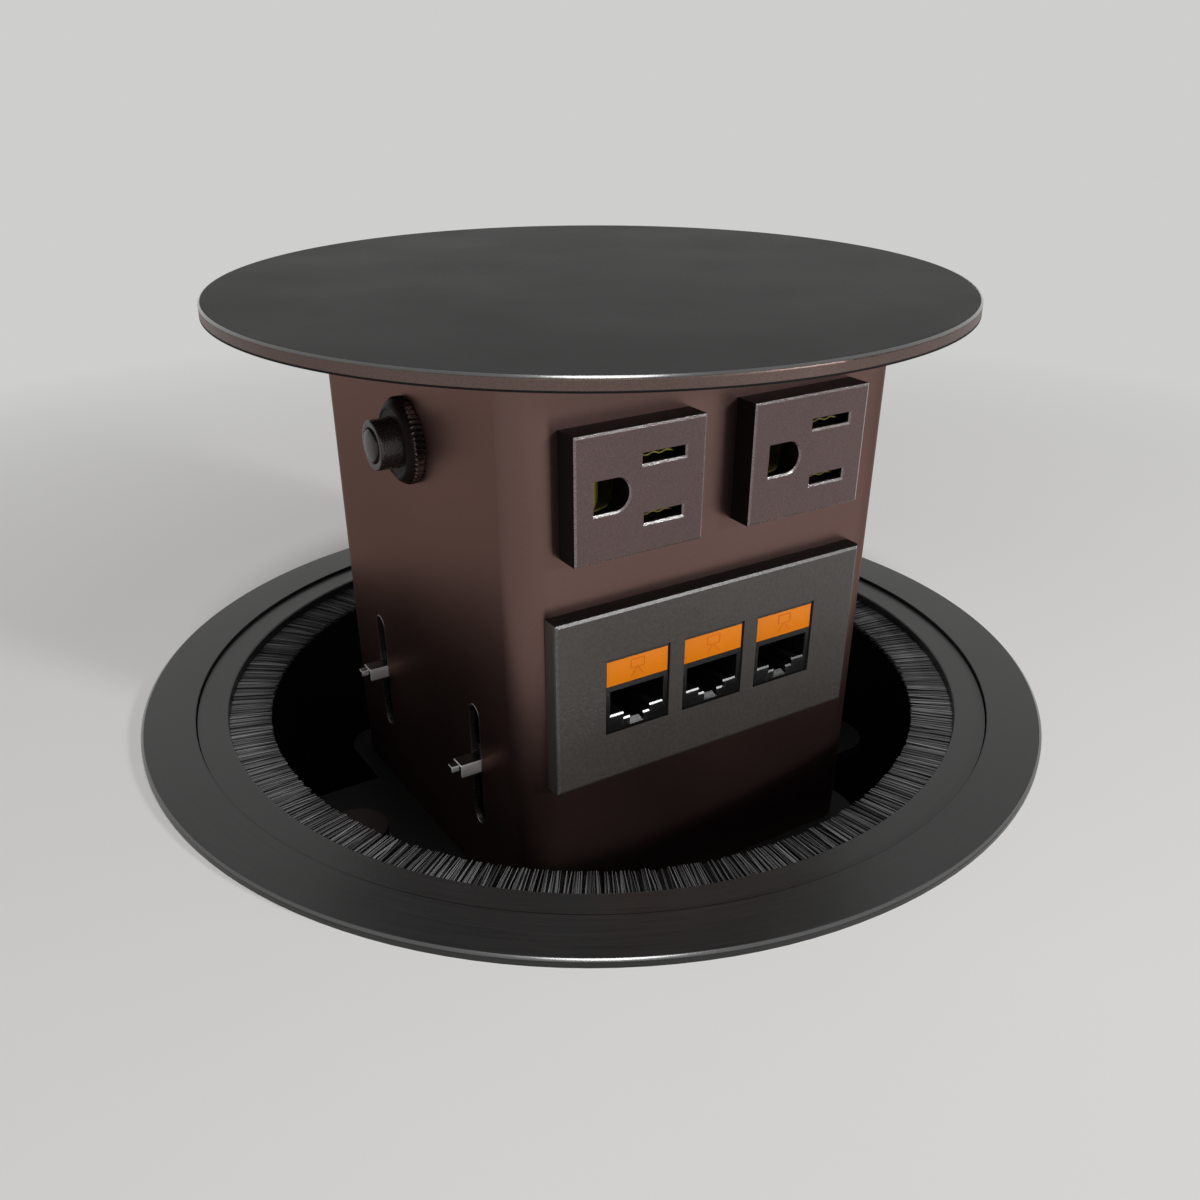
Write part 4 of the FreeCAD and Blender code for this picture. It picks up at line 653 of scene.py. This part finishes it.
JACKS = ((-23.5, "left"), (-2.4, "middle"), (18.7, "right"))
JACK_FACE, PLATE_FRONT = -58.15, -58.55
JACK_Z = 29.0
JACK_HALF, WINDOW_HALF, JACK_DEPTH = (8.55, 9.45), (8.6, 9.5), 27.0
TAG_RISE = 5.5
PLATE_EDGES, PLATE_DEPTH = (-44.95, 40.15, 7.1, 50.1), 4.3


def port_loop(x, side, ledge):
    """The stepped mouth of a port. ledge lowers the two ledges, side widens the mouth."""
    z = JACK_Z
    port, step, notch = z - 5.1 - ledge, z - 6.6 - ledge, z - 8.7 - side
    return [
        (x - 1.8 - side, notch), (x + 1.8 + side, notch),
        (x + 1.8 + side, step), (x + 3.55 + side, step),
        (x + 3.55 + side, port), (x + 7.2 + side, port),
        (x + 7.2 + side, z + 1.0 + side), (x - 7.2 - side, z + 1.0 + side),
        (x - 7.2 - side, port), (x - 3.55 - side, port),
        (x - 3.55 - side, step), (x - 1.8 - side, step),
    ]


def data_plate():
    """The plate with its three windows. Its soft front edge has one flat facet that catches the light.
    The upper facets of that edge carry a painted highlight, and the top face painted shade.
    """
    form = Form()
    outline = rectangle(*PLATE_EDGES)
    steps = ((0.9, 0.0), (0.26, 0.32), (0.04, 0.65))
    rings = [(inset(outline, amount), depth) for amount, depth in steps]
    windows = []
    for x, _ in JACKS:
        window = around(x, JACK_Z, WINDOW_HALF)
        windows.append(([(window, 0.0), (window, PLATE_DEPTH)], True))
    form.slab(front_wall(PLATE_FRONT), rings + [(outline, 1.05), (outline, PLATE_DEPTH)], windows)
    piece(form, "plate_face", "plate_plastic", "tower", ["data_plate"], angle=18.0, faces=[
        (lambda normal: normal.z > 0.6, PAINTED_SHADE_SIDES),
        (lambda normal: -0.97 < normal.y <= -0.6 and normal.z > normal.x + 0.1, PLATE_EDGE_HIGHLIGHT),
    ])


def jack(x, side):
    form = Form()
    face = around(x, JACK_Z, JACK_HALF)
    port = [
        (port_loop(x, 0.12, 0.48), 0.0), (port_loop(x, 0.0, 0.36), 0.08), (port_loop(x, 0.0, 0.0), 0.26),
        (port_loop(x, 0.0, 0.0), 1.5), (port_loop(x, 0.3, 0.3), 1.52), (port_loop(x, 0.3, 0.3), 14.0),
    ]
    seat = around(x, JACK_Z + TAG_RISE, (8.25, 3.15))
    seat_rings = [(inset(seat, -0.05), 0.0), (seat, 0.05), (seat, 1.0)]
    rings = soft_edge(face, 0.15) + [(face, JACK_DEPTH)]
    form.slab(front_wall(JACK_FACE), rings, [(port, False), (seat_rings, False)])
    # The latch's ramp rises from the notch's floor
    low, rise, near_y, far_y = JACK_Z - 8.72, 1.1, JACK_FACE + 0.25, JACK_FACE + 1.0
    wide, narrow, sunk = 1.75, 1.15, low - 0.1
    near = [(x - wide, near_y, low), (x + wide, near_y, low)]
    far = [(x + narrow, far_y, low + rise), (x - narrow, far_y, low + rise)]
    base = [
        (x - wide, far_y, sunk), (x + wide, far_y, sunk),
        (x + wide, near_y, sunk), (x - wide, near_y, sunk),
    ]
    start = len(form.points)
    form.points.extend(near + far + base)
    form.faces.extend(
        tuple(start + i for i in face)
        for face in ((0, 1, 2, 3), (4, 5, 6, 7), (0, 1, 6, 7), (2, 3, 4, 5), (1, 2, 5, 6), (0, 3, 4, 7))
    )
    piece(form, "jack_body_" + side, "jack_plastic", "tower", ["jack_" + side], angle=18.0)


def tags():
    """Coloured tags with a faint raised screen sign."""
    form = Form()
    for x, _ in JACKS:
        outline = around(x, JACK_Z + TAG_RISE, (8.2, 3.1))
        form.slab(front_wall(JACK_FACE), soft_edge(outline, 0.12, steps=2) + [(outline, 0.98)])
    piece(form, "port_tags", "tag_plastic", "tower", ["jack_tags"])
    form = Form()
    place, thick = front_wall(JACK_FACE - 0.05), 0.1
    for x, _ in JACKS:
        z = JACK_Z + 5.9
        screen = rectangle(x - 1.9, x + 1.9, z - 0.4, z + 2.0, 0.3, 2)
        hollow = inset(screen, 0.24)
        form.slab(place, [(screen, 0.0), (screen, thick)], [([(hollow, 0.0), (hollow, thick)], True)])
        for sign in (-1, 1):
            corners = ((0.1, -0.5), (1.5, -2.4), (1.82, -2.4), (0.42, -0.5))
            leg = [(x + sign * u, z + v) for u, v in corners][::-sign]
            form.slab(place, [(leg, 0.0), (leg, thick)])
    piece(form, "port_marks", "tag_plastic", "tower", look=TAG_MARK)


# Breaker: barrel, knurled nut and domed button, on the tower's left wall

BREAKER = (-2.2, 76.0)
LEFT_WALL = -50.7
BUTTON_OUT = 9.9


def breaker():
    y, z = BREAKER
    form = Form()
    # The barrel runs from the case to its rounded rim, then in over a sunk land to the button's bore
    profile = [
        (5.75, -2.3), (5.75, 8.45), (5.68, 8.75), (5.5, 8.94), (5.25, 9.0), (4.45, 9.0), (4.2, 8.93),
        (4.08, 8.75), (4.05, 8.3), (3.9, 8.2), (3.85, 8.1), (3.85, 1.6), (0.4, 1.6),
        (0.4, -2.3), (5.75, -2.3),
    ]
    form.turned(left_axis(LEFT_WALL, y, z), profile)
    form.box((-48.38, y - 7.5, z - 15.5), (-21.4, y + 7.5, z + 15.5), 0.6)
    piece(form, "breaker_barrel", "button_plastic", "tower", ["breaker_body"],
          faces=[(lambda normal: abs(normal.x) < 0.3, BARREL_SIDE)])
    form = Form()
    teeth = 48
    profile = [
        (9.5, 0.02), (9.9, 0.25), (10.0, 0.5), (10.0, 1.7), (9.9, 2.05), (9.72, 2.35), (9.55, 2.6),
        (9.15, 3.15), (8.65, 3.6), (8.2, 3.9), (7.85, 4.0), (7.5, 3.93), (7.35, 3.8), (5.9, 3.8), (5.82, 3.7),
        (5.82, 0.02), (9.5, 0.02),
    ]
    # How deep the knurl cuts into each ring of the profile
    cut = {1: 0.5, 2: 0.62, 3: 0.62, 4: 0.5, 5: 0.2}

    def wave(index, radius, angle):
        share = (angle * teeth / (2 * math.pi)) % 1.0
        return radius - cut.get(index, 0.0) * abs(2 * share - 1) ** 0.8

    form.turned(left_axis(LEFT_WALL, y, z), profile, teeth * 8, wave)
    # The knurl teeth carry a painted highlight
    piece(form, "knurled_nut", "nut_metal", "tower", ["breaker_nut"], angle=28.0,
          faces=[(lambda normal: abs(normal.x) < 0.45, NUT_TEETH_HIGHLIGHT)])
    form = Form()
    profile = [
        (0.001, 0.0), (1.2, -0.03), (2.2, -0.12), (3.0, -0.27), (3.5, -0.45), (3.75, -0.68), (3.8, -0.95),
        (3.8, -7.98), (0.001, -8.0),
    ]
    form.turned(left_axis(LEFT_WALL - BUTTON_OUT, y, z), profile, 72)
    piece(form, "button_cap", "button_plastic", "button", ["reset_button"], angle=50.0)


# Cross bars with their end nibs, and the rolled edges of the slots

BARS = ((-28.7, "front"), (28.7, "rear"))
# The slot's middle, the half length of its straight part, and its end's radius
SLOT_MIDDLE, SLOT_STRAIGHT, SLOT_RADIUS = 1.15, 14.6, 2.5


# Half sizes of a bar and of its nibs, and the tall bevels on their upper and lower edges
BAR_REACH, BAR_HALF, NIB_REACH, NIB_HALF = 56.0, 2.25, 58.0, 1.1
BAR_STEEP = 1.8


def bars():
    for y, end in BARS:
        form = Form()
        form.box((-BAR_REACH, y - BAR_HALF, 0.4), (BAR_REACH, y + BAR_HALF, 3.9), 0.18, BAR_STEEP)
        for sign in (-1, 1):
            span = sorted((sign * (BAR_REACH - 0.1), sign * NIB_REACH))
            form.box((span[0], y - NIB_HALF, 1.95), (span[1], y + NIB_HALF, 3.55), 0.15, BAR_STEEP)
        # The sides carry painted light, the top and ends painted shade
        piece(form, "cross_bar_" + end, "steel", end + "_bar", ["bar_" + end], look=BAR_SIDES_PAINTED_LIGHT,
              faces=[(lambda normal: normal.z > 0.9 or abs(normal.x) > 0.9, BAR_TOP_PAINTED_SHADE)])


def slot_edges():
    form = Form()
    # How far each ring lies inside the slot's outline, and how deep in the wall
    section = [
        (-0.3, 0.0), (-0.22, -0.05), (-0.02, -0.07), (0.08, 0.02), (0.1, 0.2), (0.1, 1.45), (-0.02, 1.45),
    ]
    for sign in (-1, 1):
        for y, _ in BARS:
            loop = []
            for centre, start in ((SLOT_MIDDLE - SLOT_STRAIGHT, 180), (SLOT_MIDDLE + SLOT_STRAIGHT, 0)):
                for step in range(17):
                    angle = math.radians(start + 180 * step / 16)
                    loop.append((y + SLOT_RADIUS * math.cos(angle), centre + SLOT_RADIUS * math.sin(angle)))
            rings = []
            for move, depth in section + section[:1]:
                rings.append([(-sign * (LEFT_WALL + depth), u, v) for u, v in inset(loop, move)])
            form.band(rings)
    piece(form, "slot_edges", "tower_metal", "tower", look=SLOT_EDGE)


# Narrow flat bands on the rounded rims of the flange and the lid, and a dark ring of painted shade under the
# lid's edge

HAIR = 0.03
RIM_STEPS = 256


def rim_band(name, slot, body, radius, top, round_radius, low, high):
    """Two facets that clear the round by a hair, at the angles low and high above level."""
    proud = round_radius + HAIR
    lines = [
        (0.0, round_radius), (math.radians(low), proud),
        (math.radians(high), proud), (math.pi / 2, round_radius),
    ]
    outline = []
    for (a, near), (b, far) in zip(lines, lines[1:]):
        across = (near * math.sin(b) - far * math.sin(a)) / math.sin(b - a)
        above = (far * math.cos(a) - near * math.cos(b)) / math.sin(b - a)
        outline.append((radius - round_radius + across, top - round_radius + above))
    form = Form()
    inner = [(r - 0.3, z - 0.3) for r, z in outline]
    form.turned(upright, outline + inner[::-1] + outline[:1], RIM_STEPS)
    piece(form, name, slot, body, look=EDGE_METAL)


def shade_line(name, slot, body, radius, low, high):
    """A dark ring of painted shade under a turned edge, a hair proud of it."""
    proud, inner = radius + HAIR, radius - 0.2
    form = Form()
    form.turned(upright, [(inner, low), (proud, low), (proud, high), (inner, high), (inner, low)], RIM_STEPS)
    piece(form, name, slot, body, look=MATERIALS["well_metal"])


# Screw heads with a cross recess

def cross(cu, cv, arm, half):
    """The outline of a cross. arm is its reach, half is half an arm's width."""
    return [
        (cu - half, cv - arm), (cu + half, cv - arm), (cu + half, cv - half), (cu + arm, cv - half),
        (cu + arm, cv + half), (cu + half, cv + half), (cu + half, cv + arm), (cu - half, cv + arm),
        (cu - half, cv + half), (cu - arm, cv + half), (cu - arm, cv - half), (cu - half, cv - half),
    ]


def pan_screw(form, place, cu, cv, radius, height, shank, length):
    """A domed head on a plain shank, with a cross recess."""
    rings, steps = [], 5
    for step in range(steps + 1):
        angle = math.pi / 2 * step / steps
        ring = circle(cu, cv, radius * (0.55 + 0.45 * math.sin(angle)))
        rings.append((ring, height * 0.75 * (1 - math.cos(angle))))
    rod = circle(cu, cv, shank)
    rings += [(circle(cu, cv, radius), height), (rod, height + 0.001), (rod, length)]
    recess = cross(cu, cv, radius * 0.5, radius * 0.14)
    form.slab(place, rings, [([(recess, 0.0), (inset(recess, 0.05), height * 0.6)], False)])


REAR_SCREWS = [(x, z) for x in (-38.7, 38.7) for z in (-7.0, 73.0)]
REAR_HEADS = 57.25


def rear_wall(u, v, depth):
    """u to the right as seen from behind, v up, depth into the rear cover."""
    return (-u, REAR_HEADS - depth, v)


def rear_screws():
    form = Form()
    for x, z in REAR_SCREWS:
        pan_screw(form, rear_wall, -x, z, radius=3.2, height=1.5, shank=1.95, length=5.9)
    piece(form, "rear_screws", "steel", "tower", ["rear_cover_screws"])


brush()
for x, side in SOCKETS:
    socket(x, side)
contacts()
for x, side in JACKS:
    jack(x, side)
tags()
breaker()
bars()
data_plate()
slot_edges()
rim_band("flange_rim_band", "trim_metal", "housing", 121.5, 2.0, 0.9, 52.0, 68.0)
rim_band("lid_rim_band", "lid_metal", "tower", 90.0, 106.0, 0.8, 38.0, 54.0)
shade_line("lid_shade_line", "lid_metal", "tower", 90.0, 103.0, 103.4)
rear_screws()


# Floor, lights and camera

BACKDROP = (0.62, 0.62, 0.61, 1.0)
FLOOR_SHADES = ((0.78, 0.77, 0.75, 1.0), (0.83, 0.82, 0.81, 1.0))
# The floor's rings from the edge of its cut-out, and where it fades into the backdrop, in metres
FLOOR_RADII = (0.1125, 0.14, 0.2, 0.35, 0.7, 1.5, 3.5, 9.0)
FADE_RANGE = (0.16, 0.44)
WORLD_LIGHT = 0.20


def floor():
    radii, count = FLOOR_RADII, 192
    points, faces = [], []
    for radius in radii:
        for i in range(count):
            angle = 2 * math.pi * i / count
            points.append((radius * math.cos(angle), radius * math.sin(angle), 0.0))
    for row in range(len(radii) - 1):
        for i in range(count):
            j = (i + 1) % count
            faces.append((row * count + i, (row + 1) * count + i, (row + 1) * count + j, row * count + j))
    mesh = bpy.data.meshes.new("floor")
    mesh.from_pydata(points, [], faces)
    made = bpy.data.materials.new("pale_floor")
    made.use_nodes = True
    tree = made.node_tree
    shader = tree.nodes["Principled BSDF"]
    output = tree.nodes["Material Output"]
    shader.inputs["Roughness"].default_value = 0.7
    shader.inputs["Specular IOR Level"].default_value = 0.2
    place = plain_place(tree)
    clouds = noise(tree, place, 6.0, 4.0)
    link(tree, blend(tree, clouds, *FLOOR_SHADES), shader.inputs["Base Color"])
    # Away from the object the floor turns into the plain pale backdrop
    distance = tree.nodes.new("ShaderNodeVectorMath")
    distance.operation = "LENGTH"
    link(tree, place, distance.inputs[0])
    glow = tree.nodes.new("ShaderNodeEmission")
    glow.inputs["Color"].default_value = BACKDROP
    away = spread(tree, distance.outputs["Value"], 0.0, 1.0, *FADE_RANGE)
    share = maths(tree, "MULTIPLY", away, seen_rays(tree))
    fade = tree.nodes.new("ShaderNodeMixShader")
    link(tree, share, fade.inputs[0])
    link(tree, shader.outputs[0], fade.inputs[1])
    link(tree, glow.outputs[0], fade.inputs[2])
    # Seen from below the floor is clear
    clear = tree.nodes.new("ShaderNodeBsdfTransparent")
    under = tree.nodes.new("ShaderNodeMixShader")
    link(tree, tree.nodes.new("ShaderNodeNewGeometry").outputs["Backfacing"], under.inputs[0])
    link(tree, fade.outputs[0], under.inputs[1])
    link(tree, clear.outputs[0], under.inputs[2])
    link(tree, under.outputs[0], output.inputs["Surface"])
    mesh.materials.append(made)
    obj = bpy.data.objects.new("floor", mesh)
    scene.collection.objects.link(obj)


def world():
    """The backdrop as it is seen, and a weaker light from it on the object."""
    made = bpy.data.worlds.new("studio")
    made.use_nodes = True
    scene.world = made
    tree = made.node_tree
    back = tree.nodes["Background"]
    back.inputs["Color"].default_value = BACKDROP
    link(tree, spread(tree, seen_rays(tree), WORLD_LIGHT, 1.0, 0.0, 1.0), back.inputs["Strength"])


LAMP_TARGET = (0.0, 0.0, 0.03)


def lamp(name, place, size, power):
    light = bpy.data.lights.new(name, "AREA")
    light.shape = "DISK"
    light.size = size
    light.energy = power
    obj = bpy.data.objects.new(name, light)
    obj.location = place
    obj.rotation_euler = (Vector(place) - Vector(LAMP_TARGET)).to_track_quat("Z", "Y").to_euler()
    scene.collection.objects.link(obj)


def camera():
    """The photo's own view: its lens, shift, axes and place."""
    lens = bpy.data.cameras.new("photo_view")
    lens.sensor_fit = "HORIZONTAL"
    lens.sensor_width = 36.0
    lens.lens = 34.52704
    lens.shift_x = 0.00731881
    lens.shift_y = 0.09671053
    lens.clip_start = 0.01
    lens.clip_end = 50.0
    obj = bpy.data.objects.new("photo_view", lens)
    across = Vector((0.85133228, -0.52462359, -0.00185343))
    up = Vector((0.26912542, 0.4336849, 0.85993541))
    back = Vector((-0.4503386, -0.73258958, 0.5103995))
    turn = Matrix((across, up, back)).transposed().to_4x4()
    obj.matrix_world = Matrix.Translation((-0.15131962, -0.24615962, 0.15646779)) @ turn
    scene.collection.objects.link(obj)
    scene.camera = obj


floor()
world()
lamp("overhead", (-0.12, -0.28, 1.10), 0.40, 6.2)
lamp("front_right", (0.50, -1.00, 0.40), 0.16, 5.8)
lamp("front_left", (-0.62, -1.00, 0.42), 0.12, 0.7)
camera()

scene.view_settings.view_transform = "Standard"
